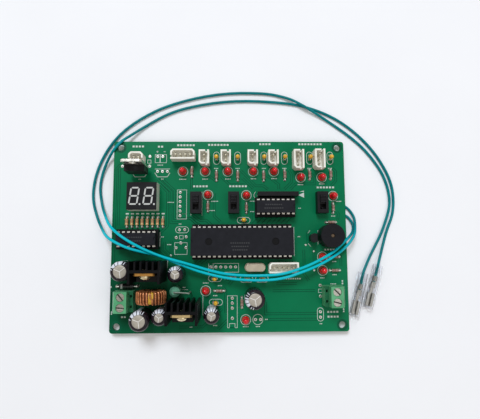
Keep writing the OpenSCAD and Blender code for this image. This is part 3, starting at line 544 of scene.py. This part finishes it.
# The flat faces inside each screw's slot get a near-black steel: painted shade in the slot.
for node in (f"{b}_screw_{i}" for b in ("power", "motor") for i in (1, 2)):
    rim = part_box(node)[1].z
    part_faces(node, "slot", lambda face: rim - SLOT_DEPTH < face.center.z < rim - 0.1 * MM
               and abs(face.normal.z) > 0.5)
part_faces("component_leads", "dull",
           lambda face: SUPPRESSOR_X[0] < face.center.x < SUPPRESSOR_X[1]
           and SUPPRESSOR_Y[0] < face.center.y < SUPPRESSOR_Y[1])
part_faces("power_package_tabs", "brass", lambda face: FRONT_TAB_Y < face.center.y < 0)
part_faces("power_package_tabs", "pale_gold", lambda face: face.center.y < FRONT_TAB_Y)

# ---------------------------------------------------------------- board surface
INK_Z = (TOP + 0.005, TOP + 0.04)
TRACK_Z = (TOP + 0.002, TOP + 0.02)
PAD_Z = (TOP + 0.004, TOP + 0.07)
INK_LINE = 0.22                                 # width of a printed line
LEDS = [((lo + hi) / 2) for lo, hi in islands("indicator_leds")]
CERAMICS = [((lo + hi) / 2) for lo, hi in islands("ceramic_capacitors")]
RESISTORS = islands("resistors")
LEADS = islands("component_leads")


def label(ink, x, y, cells, height, turn):
    """A row of plain dashes that stands where the real board has printed words."""
    step = height * 0.78
    for k in range(cells):
        u = (k - (cells - 1) / 2) * step
        ink.prism(rect(u - step * 0.33, -height * 0.23, u + step * 0.33, height * 0.23), *INK_Z, 0,
                  move(x, y, 0, turn))


def frame_line(ink, outline):
    """A closed ink line just inside an outline."""
    cx = sum(p[0] for p in outline) / len(outline)
    cy = sum(p[1] for p in outline) / len(outline)
    half_x = max(abs(p[0] - cx) for p in outline)
    half_y = max(abs(p[1] - cy) for p in outline)
    sx, sy = (half_x - INK_LINE) / half_x, (half_y - INK_LINE) / half_y
    inner = [(cx + (x - cx) * sx, cy + (y - cy) * sy) for x, y in outline]
    ink.loop(inner, outline, *INK_Z)


# Printed rectangles round the unused places: left, near, right, far
PRINTED_BOXES = (
    (-39.6, 38.2, -36.9, 42.8), (-36.9, 38.2, -33.4, 42.8), (-27.7, 10.9, -22.6, 23.8),
    (-27.7, 8.2, -22.6, 11.1), (-11.1, -19.5, 4.6, -14.75), (-11.1, -19.5, -8.6, -14.75),
    (-28.75, -10.2, -22.1, -3.9), (-1.4, -47.5, 3.8, -31.25), (-0.4, -47.5, 2.6, -45.2),
    (-43.6, 37.9, -41.6, 39.9), (-26.3, -2.2, -24.2, -0.2), (45.7, -30.2, 47.7, -28.2),
)
PRINTED_LINES = (
    [(33.6, 3.9), (33.6, -11.3)], [(-36.3, 1.6), (-36.3, -6)], [(34.4, 18.4), (34.4, 9.6)],
    [(46.2, 2.1), (46.2, -5.4)], [(41, 0.6), (42.1, 2.1)], [(41, -4.8), (42.4, -6.4)],
    [(-32.2, -13), (-32.2, -17)], [(-13.9, -31), (-13.9, -41)],
    [(-24.6, -28.1), (-21.6, -28.1)], [(-24.6, -29.9), (-21.6, -29.9)],
    [(13.6, 22.6), (12.8, 21.4), (12.8, 20.2), (13.6, 19)],
    [(-20.4, 22.7), (-20.4, 10.2)], [(-14.6, 22.7), (-14.6, 10.2)],
)
# Rows of dashes, by their height and turn: centre x, centre y, number of dashes
LABELS = {
    (2.1, 0): [
        (-48.6, 47.1, 4), (-36.8, 47, 2), (-23.3, 47.8, 6), (-6, 48, 7), (18.9, 48.4, 4),
        (43.2, 48.4, 8), (-15.5, 25.6, 5), (4.4, 25.6, 6), (50.9, 24.9, 6),
    ],
    (1.9, 0): [
        (52.1, -8, 4),
    ],
    (1.5, 0): [
        (31.6, -22.9, 9),
    ],
    (2, 0): [
        (52.9, -39.9, 4), (53, -42.3, 4),
    ],
    (1, 0): [
        (-36.8, 37, 4), (-24.8, 29.4, 5), (-13, 29.5, 4), (-1, 29.5, 4), (12.6, 29.6, 4),
        (23.6, 29.7, 4), (37.6, 26.4, 4), (49, 26.8, 4), (-8, 17.6, 5), (-9.4, 12.7, 4),
        (12.4, 17.6, 5), (11.8, 12.1, 3), (57.7, 17.4, 4), (54.6, 9.6, 3), (36.9, 13.8, 2),
        (36.2, -1.2, 2), (-7.2, 35.2, 3), (4.2, 35.2, 3), (18.2, 35.2, 3), (29.2, 35.2, 3),
        (42.6, 35.2, 3), (53.6, 35.2, 3), (-12.5, -24.8, 4), (-5.2, -26.2, 3), (-7.6, -31.2, 3),
        (8.2, 4.9, 2), (54.4, -14.2, 3), (54.4, -21, 3), (48, -22.6, 3), (53.6, -25.7, 4),
        (8, -46.9, 4), (14.2, -46.9, 3), (46.6, -45.8, 2), (-23.6, -27, 2), (-26, 5.7, 2),
        (-35.5, -1, 3), (-31.5, -5, 3), (18.6, -43.4, 2), (-19.9, -46.9, 2), (-7.6, -46.2, 3),
    ],
    (0.9, 0): [
        (-47.5, 29.4, 2), (-35.6, 29.5, 2), (-31, 17.1, 5),
    ],
    (1.6, 90): [
        (58.4, -24.9, 2), (-61, -26.5, 1),
    ],
    (1.4, 90): [
        (58.6, -38.6, 3),
    ],
    (1.2, 90): [
        (-60.3, -39.5, 2),
    ],
    (1.8, 0): [
        (-54.2, -41.6, 2),
    ],
    (1.4, 0): [
        (17.6, -32, 1),
    ],
}
EMPTY_LED = Vector((14.2, -43.4, 0))            # the lamp place that holds no lamp
EMPTY_CERAMIC = Vector((-24.9, 2.65, 0))        # the capacitor place that holds no capacitor
EMPTY_SIDEWAYS = Vector((46.5, -41.15, 0))      # another, which lies along Y
FAR_ROW_Y = 30                                  # capacitors beyond this lie along Y
PACKAGE_X = (-47.55, -35.6)                     # the far package and the empty place beside it


def capacitor_outline(ink, place, turn):
    """The printed stadium round a ceramic capacitor."""
    ink.loop(capsule(place.x, place.y, 6.5, 2.9, turn), capsule(place.x, place.y, 7, 3.4, turn), *INK_Z)


def board_marks():
    """The white print: outlines of the parts, polarity marks and dashes for the words."""
    ink = Build()
    for p in LEDS + [EMPTY_LED]:
        ink.loop(circle(p.x, p.y, 2.44), circle(p.x, p.y, 2.7), *INK_Z)
    for p in CERAMICS + [EMPTY_CERAMIC]:
        capacitor_outline(ink, p, 90 if p.y > FAR_ROW_Y else 0)
    capacitor_outline(ink, EMPTY_SIDEWAYS, 90)
    for box in PRINTED_BOXES:
        frame_line(ink, rect(*box))
    for x in PACKAGE_X:
        ink.strip([(x - 4, 32.9), (x - 2.6, 30.7), (x + 2.6, 30.7), (x + 4, 32.9)], 0.28, *INK_Z)
        ink.strip([(x - 4, 34.9), (x + 4, 34.9)], 0.28, *INK_Z)
    for line in PRINTED_LINES:
        ink.strip(line, INK_LINE, *INK_Z)
    # the arrow at the end of the resistor network
    ink.prism([(36.4, 20.8), (39.4, 19.4), (39.4, 22.2)], *INK_Z)
    ink.prism([(37, 22.6), (39.4, 22.6), (39.4, 23.2)], *INK_Z)
    # polarity marks: two bars and the upright of a plus sign
    for x in (-38.4, -34.6):
        ink.prism(rect(x - 0.5, 44.1, x + 0.5, 44.4), *INK_Z)
    ink.prism(rect(-38.55, 43.75, -38.25, 44.75), *INK_Z)
    for (height, turn), places in LABELS.items():
        for x, y, cells in places:
            label(ink, x, y, cells, height, turn)
    # a bar at the far end of each resistor beside the display
    for k in range(8):
        x = -54.3 + 2.66 * k
        ink.prism(rect(x, 10.8, x + 1.6, 11.5), *INK_Z)
    ink.make("printed_marks", ["ink"], "pcb")


# Middle lines of the copper tracks that show faintly under the mask
TRACKS = (
    [(-60, 34.8), (-60, -40)], [(-58.1, 34.8), (-58.1, 5)], [(-56.4, 38.6), (-60, 34.8)],
    [(-37.9, 31.6), (-29, 23.3), (-29, 8.6), (-20.5, 8.6), (-16.6, 4.8)],
    [(-36.7, 26.8), (-32.6, 22.5), (-32.6, 4.6), (-36.4, 1)],
    [(-38, 29.4), (-30.8, 22.8), (-30.8, 6.4), (-25, 6.4)],
    [(-20.2, 31.6), (-20.2, 24)], [(-10.8, 31.2), (-7.1, 28.2)], [(-4.6, 30.8), (0, 26.4), (8, 26.4)],
    [(-8.2, 21.9), (-8.2, 9.8), (-5, 6.8)], [(-21, 11.6), (-15.8, 7.6), (-12.4, 7.6), (-9.4, 5)],
    [(-22, 9.6), (-17.8, 6.2), (-15, 4.8)],
    [(5.8, 34.1), (13.8, 25.8), (17.8, 25.8), (20.4, 23.8)], [(6.6, 30), (12.4, 24.4)],
    [(19.8, 31.3), (26, 26.5), (26, 24)], [(31.4, 34.5), (32.8, 32.1), (32.8, 27.7), (29, 24)],
    [(43.7, 32.1), (45, 30.5), (45, 26.8), (35, 26.8), (32.2, 24)],
    [(54.8, 35.3), (56.6, 33.6), (56.6, 28.6), (54, 25.7)], [(11.2, 18), (11.2, 7.4)],
    [(56.6, 12), (57.4, 10.8), (57, 7.5)], [(40.9, 1.4), (40.9, -5.5)], [(43.9, -8.8), (43.9, -18.7)],
    [(57.9, -11), (57.9, -16.6)], [(18.3, -34.6), (18.3, -40.6), (46.5, -40.6)],
    [(19.1, -43.5), (46.5, -43.5)], [(48, -32.6), (48, -37.4)], [(-0.6, -25.6), (2.4, -22.6), (2.4, -20)],
    [(-6, -48), (-1.4, -43.5)], [(-35.7, -4.8), (-35.7, -8.1), (-32.4, -11.4), (-27, -11.4)],
    [(-34, -3.5), (-34, -7.4), (-31.6, -9.8)], [(-30.5, -3), (-30.5, -10.6)],
    [(-3.6, -27), (-2.2, -28.4), (-2.2, -40)], [(-26, -46.8), (-14, -46.8), (-4, -38)],
    [(-17.6, -14.6), (-14.4, -11.8)], [(-15.2, -14.6), (-12, -11.8)], [(-12.8, -14.2), (-9.6, -11.8)],
    [(38.6, -8), (38.6, -20.6), (41, -24)], [(34.6, -25.4), (24, -25.4)], [(22, -29), (44, -29)],
)
PITCH = 2.54
# Slanting tracks in front of the smaller chip in the middle
FAN = [((15.3 + PITCH * k, 9.6), (11.6 + PITCH * k, 5.8)) for k in range(8)]
HOLES = [(x, y) for x in (-57.75, 57.75) for y in (-46.5, 46.5)]


def board_tracks():
    """The edges of the tracks, and the bare rings round the mounting holes."""
    line = Build()
    for track in TRACKS:
        for side in (-0.52, 0.52):
            line.strip(track, 0.2, *TRACK_Z, 0, side)
    for track in FAN:
        line.strip(track, 0.24, *TRACK_Z)
    for x, y in HOLES:
        line.loop(circle(x, y, 1.78), circle(x, y, 2.9), *TRACK_Z, 1)
    line.make("track_lines", ["track", "ring"], "pcb")


# Empty soldered holes, and the narrower ones that join the two sides of the board
PADS = [
    (-38.2, 41.6), (-35.5, 41.6), (-42.3, 41.7), (-42.4, 36.4), (-56.7, 36.4), (-38.2, 33.6),
    (-35.6, 33.6), (-33, 33.6), (-9.85, -16.7), (-7.3, -16.7), (-4.75, -16.7), (-2.2, -16.7),
    (0.35, -16.7), (2.9, -16.7), (-26.3, 2.6), (-23.5, 2.7), (-27.9, -1.4), (-22.7, -1.1),
    (-25.45, -4.2), (-27.9, -6.7), (-22.8, -6.6), (1.15, -32.6), (1.15, -35.1), (1.15, -37.6),
    (1.15, -42.7), (46.5, -39.8), (46.5, -42.5), (46.75, -26.45), (46.8, -31.9), (13, -43.4),
    (15.6, -43.4),
] + [(-26.1, 22.4 - 2.48 * k) for k in range(6)]
VIAS = [(-30.5, -10.6), (39.7, -5.5), (43.85, -8.85), (43.85, -18.7)]
PAD_R, VIA_R = 0.85, 0.55
LEAD_R = 0.28


def lead_end(lo, hi):
    """Where a component lead goes into the board: for a bent one, the end away from its resistor."""
    c = (lo + hi) / 2
    wide, deep = hi.x - lo.x, hi.y - lo.y
    if max(wide, deep) <= 1:
        return c.x, c.y
    if deep > wide:
        ends = [(c.x, hi.y - LEAD_R), (c.x, lo.y + LEAD_R)]
    else:
        ends = [(hi.x - LEAD_R, c.y), (lo.x + LEAD_R, c.y)]
    near = min((((a + b) / 2) for a, b in RESISTORS), key=lambda m: (m.x - c.x) ** 2 + (m.y - c.y) ** 2)
    return max(ends, key=lambda e: (e[0] - near.x) ** 2 + (e[1] - near.y) ** 2)


def solder_pads():
    """Rings of solder in the empty holes, and a small cone round each lead."""
    pad = Build()
    low, high = PAD_Z
    for x, y in PADS + VIAS:
        r = VIA_R if (x, y) in VIAS else PAD_R
        pad.lathe([(r, low), (r, high), (r * 0.75, high + 0.08), (r * 0.42, high + 0.02)],
                  at=move(x, y), sides=20)
        if r == PAD_R:
            # A small black disc in the middle of each empty hole is painted shade standing for the hole.
            pad.lathe([(r * 0.36, high), (r * 0.3, high + 0.03)], 1, move(x, y), 16)
    for lo, hi in LEADS:
        if lo.z > TOP + 0.2:
            continue
        x, y = lead_end(lo, hi)
        pad.lathe([(0.85, low), (0.8, high), (0.5, TOP + 0.3), (0.33, TOP + 0.6)],
                  at=move(x, y), sides=16)
    pad.make("solder_pads", ["solder", "socket"], "solder")


board_marks()
board_tracks()
solder_pads()

# ---------------------------------------------------------------- display digits
# The seven segments of a digit, each from one corner or middle of its frame to another
SEGMENTS = [(-1, 1, 1, 1), (-1, 0, 1, 0), (-1, -1, 1, -1),
            (-1, 0, -1, 1), (-1, -1, -1, 0), (1, 0, 1, 1), (1, -1, 1, 0)]
DIGIT_X = (-3.75, 3.45)


def digits():
    """Two leaning seven-segment digits with their points."""
    lo, hi = span("display_face")
    cx, cy, z = (lo.x + hi.x) / 2, (lo.y + hi.y) / 2, hi.z
    seg = Build()
    half_w, half_h, t, gap, lean = 2.0, 4.15, 0.38, 0.22, 0.14
    for ox in DIGIT_X:
        for x0, y0, x1, y1 in SEGMENTS:
            a = Vector((x0 * half_w, y0 * half_h))
            b = Vector((x1 * half_w, y1 * half_h))
            d = (b - a).normalized()
            s = Vector((-d.y, d.x)) * t
            a, b = a + d * gap, b - d * gap
            shape = [a, a + d * t - s, b - d * t - s, b, b - d * t + s, a + d * t + s]
            seg.prism([(cx + ox + p.x + lean * p.y, cy + p.y) for p in shape], z, z + 0.03)
        seg.prism(circle(cx + ox + 2.9, cy - half_h - 0.05, 0.48, 20), z, z + 0.03)
    seg.make("display_segments", ["segment"], "display_black")


# ---------------------------------------------------------------- chip tops
# Rows of dashes on each chip: number of dashes, distance from the chip's middle
CHIP_ROWS = {
    "main_chip": ((9, -0.7), (8, -2.4), (7, -4.1)),
    "buffer_chip": ((8, 0.9), (9, -0.9)),
    "driver_chip": ((8, 0.9), (7, -0.9)),
}
DASH_PITCH, DASH_L, DASH_HALF = 1.1, 0.75, 0.28
DIMPLE_X, DIMPLE_R, DIMPLE_DEPTH = 16.75, 1.78, 0.3


def chip_marks():
    """Faint dashes in place of the printed type numbers, and the dark floors of the dimples."""
    mark = Build()
    for node, rows in CHIP_ROWS.items():
        lo, hi = span(node)
        cx, cy = (lo.x + hi.x) / 2, (lo.y + hi.y) / 2
        for cells, dy in rows:
            for k in range(cells):
                x = cx - 1 + (k - cells / 2) * DASH_PITCH
                mark.prism(rect(x, cy + dy - DASH_HALF, x + DASH_L, cy + dy + DASH_HALF),
                           hi.z, hi.z + 0.01)
        if node == "main_chip":
            floor = hi.z - DIMPLE_DEPTH
            for side in (-DIMPLE_X, DIMPLE_X):
                mark.prism(circle(cx + side, cy, DIMPLE_R), floor, floor + 0.02, 1)
    mark.make("chip_marks", ["dim_ink", "socket"], "chip_black")


digits()
chip_marks()

# ---------------------------------------------------------------- small parts


def leds():
    """Domed lenses with a flange."""
    b = Build()
    for lo, hi in islands("indicator_leds"):
        r, h = (hi.x - lo.x) / 2, hi.z - lo.z
        dome = r * 0.79
        profile = [(r * 0.98, 0), (r, 0.08), (r, 0.9), (r * 0.95, 1.0), (dome, 1.02), (dome, h - dome)]
        profile += [(dome * math.cos(math.radians(a)), h - dome + dome * math.sin(math.radians(a)))
                    for a in (12, 24, 36, 48, 60, 72, 82, 88)]
        b.lathe(profile, at=move((lo.x + hi.x) / 2, (lo.y + hi.y) / 2, lo.z), sides=40)
    b.make("led_lenses", ["led"], "led_red", replaces=["indicator_leds"])


# Half outline of a resistor body (radius, distance along it), and the colour of each ring
RESISTOR_SHAPE = [
    (0.3, 0), (0.7, 0.04), (0.88, 0.18), (0.9, 0.42), (0.86, 0.62), (0.74, 0.82), (0.74, 1.0),
    (0.74, 1.18), (0.74, 1.42), (0.74, 1.6), (0.74, 1.8), (0.74, 2.02), (0.74, 2.3), (0.74, 2.58),
    (0.86, 2.78), (0.9, 2.98), (0.88, 3.22), (0.7, 3.36), (0.3, 3.4),
]
TAN, PINK, RED, DARK, GOLD = range(5)
TAN_BANDS = {3: RED, 6: DARK, 8: RED, 10: RED, 14: GOLD}
PINK_BANDS = {3: DARK, 6: RED, 8: DARK, 10: RED, 14: DARK}


def resistor_bodies():
    """Bone-shaped bodies with colour bands: tan ones beside the display, pink ones elsewhere."""
    b = Build()
    for lo, hi in RESISTORS:
        c = (lo + hi) / 2
        beside_display = c.x < -30 and 5 < c.y < 8.5
        axis = "X" if hi.y - lo.y > hi.x - lo.x else "Y"
        at = Matrix.Translation(c) @ Matrix.Rotation(math.radians(90), 4, axis)
        at = at @ Matrix.Translation((0, 0, -RESISTOR_SHAPE[-1][1] / 2))
        bands, base = (TAN_BANDS, TAN) if beside_display else (PINK_BANDS, PINK)
        b.lathe(RESISTOR_SHAPE, at=at, sides=24, pick=lambda i, k: bands.get(i, base))
    b.make("resistor_bodies", ["tan", "pink", "band_red", "band_dark", "band_gold"], "resistor_body",
           replaces=["resistors"])


# The way that each capacitor's pale stripe faces, by the capacitor's rough place
STRIPES = {
    (-53, -18): 112, (-44, -42): 118, (12, -32): 195,
    (-27, -20): 100, (-34, -40): 96, (-9, -40): 92,
}
STRIPE_HALF, DASHES_END = 34, 62                # degrees to each side of the stripe's middle


def capacitors():
    """Shrink film with its stripe, and the scored metal top inside the film's lip."""
    film, top = Build(), Build()
    sides = 72
    for lo, hi in islands("capacitor_sleeves"):
        c, r, h = (lo + hi) / 2, (hi.x - lo.x) / 2, hi.z - lo.z
        at = move(c.x, c.y, lo.z)
        mid = STRIPES[min(STRIPES, key=lambda k: (k[0] - c.x) ** 2 + (k[1] - c.y) ** 2)]
        lip = r - 1.75
        profile = [(r - 0.25, 0), (r - 0.02, 0.2), (r - 0.02, 1.2), (r - 0.3, 1.7), (r - 0.3, 1.9),
                   (r - 0.02, 2.4), (r, h - 1.9), (r - 0.1, h - 1.3), (r - 0.4, h - 0.75),
                   (r - 0.85, h - 0.35), (r - 1.3, h - 0.08), (r - 1.55, h), (lip, h - 0.05),
                   (lip, h - 0.35)]

        def pick(i, k, mid=mid):
            away = abs((k * 360 / sides - mid + 180) % 360 - 180)
            stripe = away < STRIPE_HALF and not (k % 5 == 0 and i > 5)
            dashes = STRIPE_HALF <= away < DASHES_END and k % 3 == 0 and 6 <= i < 10
            return 1 if stripe or dashes else 0

        film.lathe(profile, at=at, sides=sides, pick=pick)
        top.lathe([(lip - 0.02, h - 0.9), (lip - 0.02, h - 0.3), (lip - 0.2, h - 0.22), (lip * 0.5, h - 0.2)],
                  at=at, sides=48)
        for k in range(3):
            arm = at @ Matrix.Rotation(math.radians(30 + 120 * k + (8 if r > 4.5 else -6)), 4, "Z")
            top.prism([(0, -0.17), (lip, -0.13), (lip, 0.13), (0, 0.17)], h - 0.3, h - 0.12, 1, arm)
    film.make("capacitor_films", ["film", "stripe"], "can_sleeve", replaces=["capacitor_sleeves"])
    top.make("capacitor_tops", ["can", "score"], "can_metal", replaces=["capacitor_cans"])


def coil():
    """The toroid's core, seen in its gap, and the wire wound round it turn by turn; the core's dark
    copper-brown is painted shade between the turns.
    """
    lo, hi = span("inductor_winding")
    c = (lo + hi) / 2
    outer, wire = (hi.x - lo.x) / 2, 0.41
    core_lo, core_hi = span("inductor_core")
    ring = (core_hi.x - core_lo.x) / 2
    deep = (core_hi.y - core_lo.y) / 2
    hole, edge = 3.5, 0.5
    core, sides = Build(), 72
    gap_from, gap_to = 70, 90                   # degrees of the core that carry the gold mark
    # painted shade: the core is dark copper-brown so that it reads as shaded copper between the turns; the
    # gold sector shows in the winding's gap
    core.lathe([(hole + edge, -deep), (ring - edge, -deep), (ring, edge - deep), (ring, deep - edge),
                (ring - edge, deep), (hole + edge, deep), (hole, deep - edge), (hole, edge - deep),
                (hole + edge, -deep)],
               at=Matrix.Translation(c) @ Matrix.Rotation(math.radians(90), 4, "X"), sides=sides,
               pick=lambda i, k: 1 if gap_from <= k * 360 / sides < gap_to else 0, caps=False)
    core.make("inductor_ring", ["core", "core_gold"], "ferrite", replaces=["inductor_core"])
    half = (hi.y - lo.y) / 2 - wire - 0.02
    r_in, r_out = hole - wire - 0.02, outer - wire - 0.02
    mid, reach = (r_in + r_out) / 2, (r_out - r_in) / 2
    turns, steps, pts = 26, 28, []
    start, sweep = 82, 353                      # degrees round the core that the winding covers
    square = 0.42                               # below 1 squares off the section of a turn
    for k in range(turns * steps + 1):
        t = k / (turns * steps)
        around = math.radians(start + sweep * t)
        a = 2 * math.pi * turns * t
        ca, sa = math.cos(a), math.sin(a)
        p = mid + reach * math.copysign(abs(ca) ** square, ca)
        y = half * math.copysign(abs(sa) ** square, sa)
        pts.append((c.x + p * math.cos(around), c.y + y, c.z + p * math.sin(around)))
    obj = tube("inductor_coil", pts, wire, "copper")
    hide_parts("inductor_winding")


def bolts():
    """Pan-head screws that clamp the two regulators to their heat sinks."""
    b = Build()
    faces = [hi.y for lo, hi in islands("power_packages")]
    for lo, hi in islands("regulator_screws"):
        c = (lo + hi) / 2
        tab = min(faces, key=lambda y: abs(y - c.y))
        at = Matrix.Translation((c.x, tab, c.z)) @ Matrix.Rotation(math.radians(90), 4, "X")
        tall = tab - lo.y
        b.lathe([(2.45, 0), (2.5, 0.15), (2.5, 0.5), (2.3, 1.1), (1.85, 1.55), (1.2, tall - 0.12),
                 (0.6, tall)], at=at, sides=40)
        # A black cross proud of each head is painted shade standing for the cross recess.
        for turn in (0, 90):
            b.box((-1.3, -0.2, tall - 0.5), (1.3, 0.2, tall + 0.01), 1,
                  at @ Matrix.Rotation(math.radians(45 + turn), 4, "Z"))
        b.lathe([(1.45, tab - hi.y), (1.5, tab - hi.y + 0.1), (1.5, 0)], at=at, sides=24)
    b.make("regulator_bolts", ["bolt", "socket"], "screw_gold", replaces=["regulator_screws"])


KNOB_FOOT = 0.9                                 # thickness of the foot under the housing's wall
KNOB_HALF_W, KNOB_HALF_L = 1.44, 1.89
RIDGE_H, RIDGES, RIDGE_INSET = 0.45, 5, 0.38


def knobs():
    """Slide switch knobs: a foot, a block and five ridges across it."""
    for key in ("run", "door", "auto"):
        node = key + "_switch_knob"
        lo, hi = span(node)
        c = (lo + hi) / 2
        b = Build()
        b.box(lo, (hi.x, hi.y, lo.z + KNOB_FOOT))
        body_top = hi.z - RIDGE_H
        b.box((c.x - KNOB_HALF_W, c.y - KNOB_HALF_L, lo.z + KNOB_FOOT - 0.01),
              (c.x + KNOB_HALF_W, c.y + KNOB_HALF_L, body_top))
        across = Matrix(((0, 0, 1, c.x), (1, 0, 0, 0), (0, 1, 0, 0), (0, 0, 0, 1)))
        step = 2 * (KNOB_HALF_L - RIDGE_INSET) / (RIDGES - 1)
        for k in range(RIDGES):
            y = c.y - KNOB_HALF_L + RIDGE_INSET + k * step
            b.prism([(y - 0.3, body_top - 0.01), (y + 0.3, body_top - 0.01), (y + 0.12, hi.z),
                     (y - 0.12, hi.z)], -KNOB_HALF_W, KNOB_HALF_W, 0, across)
        b.make(key + "_knob_cap", ["knob"], "knob_black", body=key + "_knob", replaces=[node])


def trim():
    """The buzzer's port and the diode with its band."""
    b = Build()
    lo, hi = span("buzzer")
    c = (lo + hi) / 2
    b.lathe([(0.98, hi.z - 1.95), (0.98, hi.z - 0.5), (0.5, hi.z - 0.45)], at=move(c.x, c.y), sides=24)
    b.make("buzzer_port", ["brown"], "buzzer_black")
    d = Build()
    lo, hi = span("rectifier_diode")
    c, r = (lo + hi) / 2, (hi.z - lo.z) / 2
    at = Matrix.Translation((lo.x, c.y, c.z)) @ Matrix.Rotation(math.radians(90), 4, "Y")
    length = hi.x - lo.x
    d.lathe([(r * 0.5, 0), (r * 0.9, 0.06), (r, 0.3), (r, 0.9), (r, 1.9), (r, length - 0.3),
             (r * 0.9, length - 0.06), (r * 0.5, length)], at=at, sides=40,
            pick=lambda i, k: 1 if i == 3 else 0)
    d.make("diode_body", ["glass_dark", "band_grey"], "diode_black", replaces=["rectifier_diode"])


leds()
resistor_bodies()
capacitors()
coil()
bolts()
knobs()
trim()

# ---------------------------------------------------------------- floor and light
FLOOR_HALF = 3.0                 # metres
FLOOR_Z = -0.0001                # metres, just under the solder joints that the board stands on
# Name, place in metres, size in metres, power in watts, colour
LAMPS = (
    ("key", (-0.28, 1.0, 1.5), 0.6, 18.6, (0.86, 0.93, 1.0)),
    ("fill", (0.35, -0.2, 0.6), 0.5, 0.6, (0.97, 0.98, 1.0)),
)


def studio():
    """A pale floor, a large lamp beyond the far edge, a weak one in front and a warm sky."""
    mesh = bpy.data.meshes.new("floor")
    corners = rect(-FLOOR_HALF, -FLOOR_HALF, FLOOR_HALF, FLOOR_HALF)
    mesh.from_pydata([(x, y, FLOOR_Z) for x, y in corners], [], [[0, 1, 2, 3]])
    mesh.materials.append(M["floor"])
    floor = bpy.data.objects.new("floor", mesh)
    bpy.context.scene.collection.objects.link(floor)
    world = bpy.data.worlds.new("studio")
    world.use_nodes = True
    back = world.node_tree.nodes["Background"]
    back.inputs["Color"].default_value = (1.0, 0.955, 0.89, 1)
    back.inputs["Strength"].default_value = 0.5
    bpy.context.scene.world = world
    for name, place, size, power, tint in LAMPS:
        data = bpy.data.lights.new(name, "AREA")
        data.shape, data.size, data.energy, data.color = "SQUARE", size, power, tint
        lamp = bpy.data.objects.new(name, data)
        lamp.location = place
        lamp.rotation_euler = (-Vector(place)).to_track_quat("-Z", "Y").to_euler()
        bpy.context.scene.collection.objects.link(lamp)
    bpy.context.scene.view_settings.view_transform = "Standard"


studio()
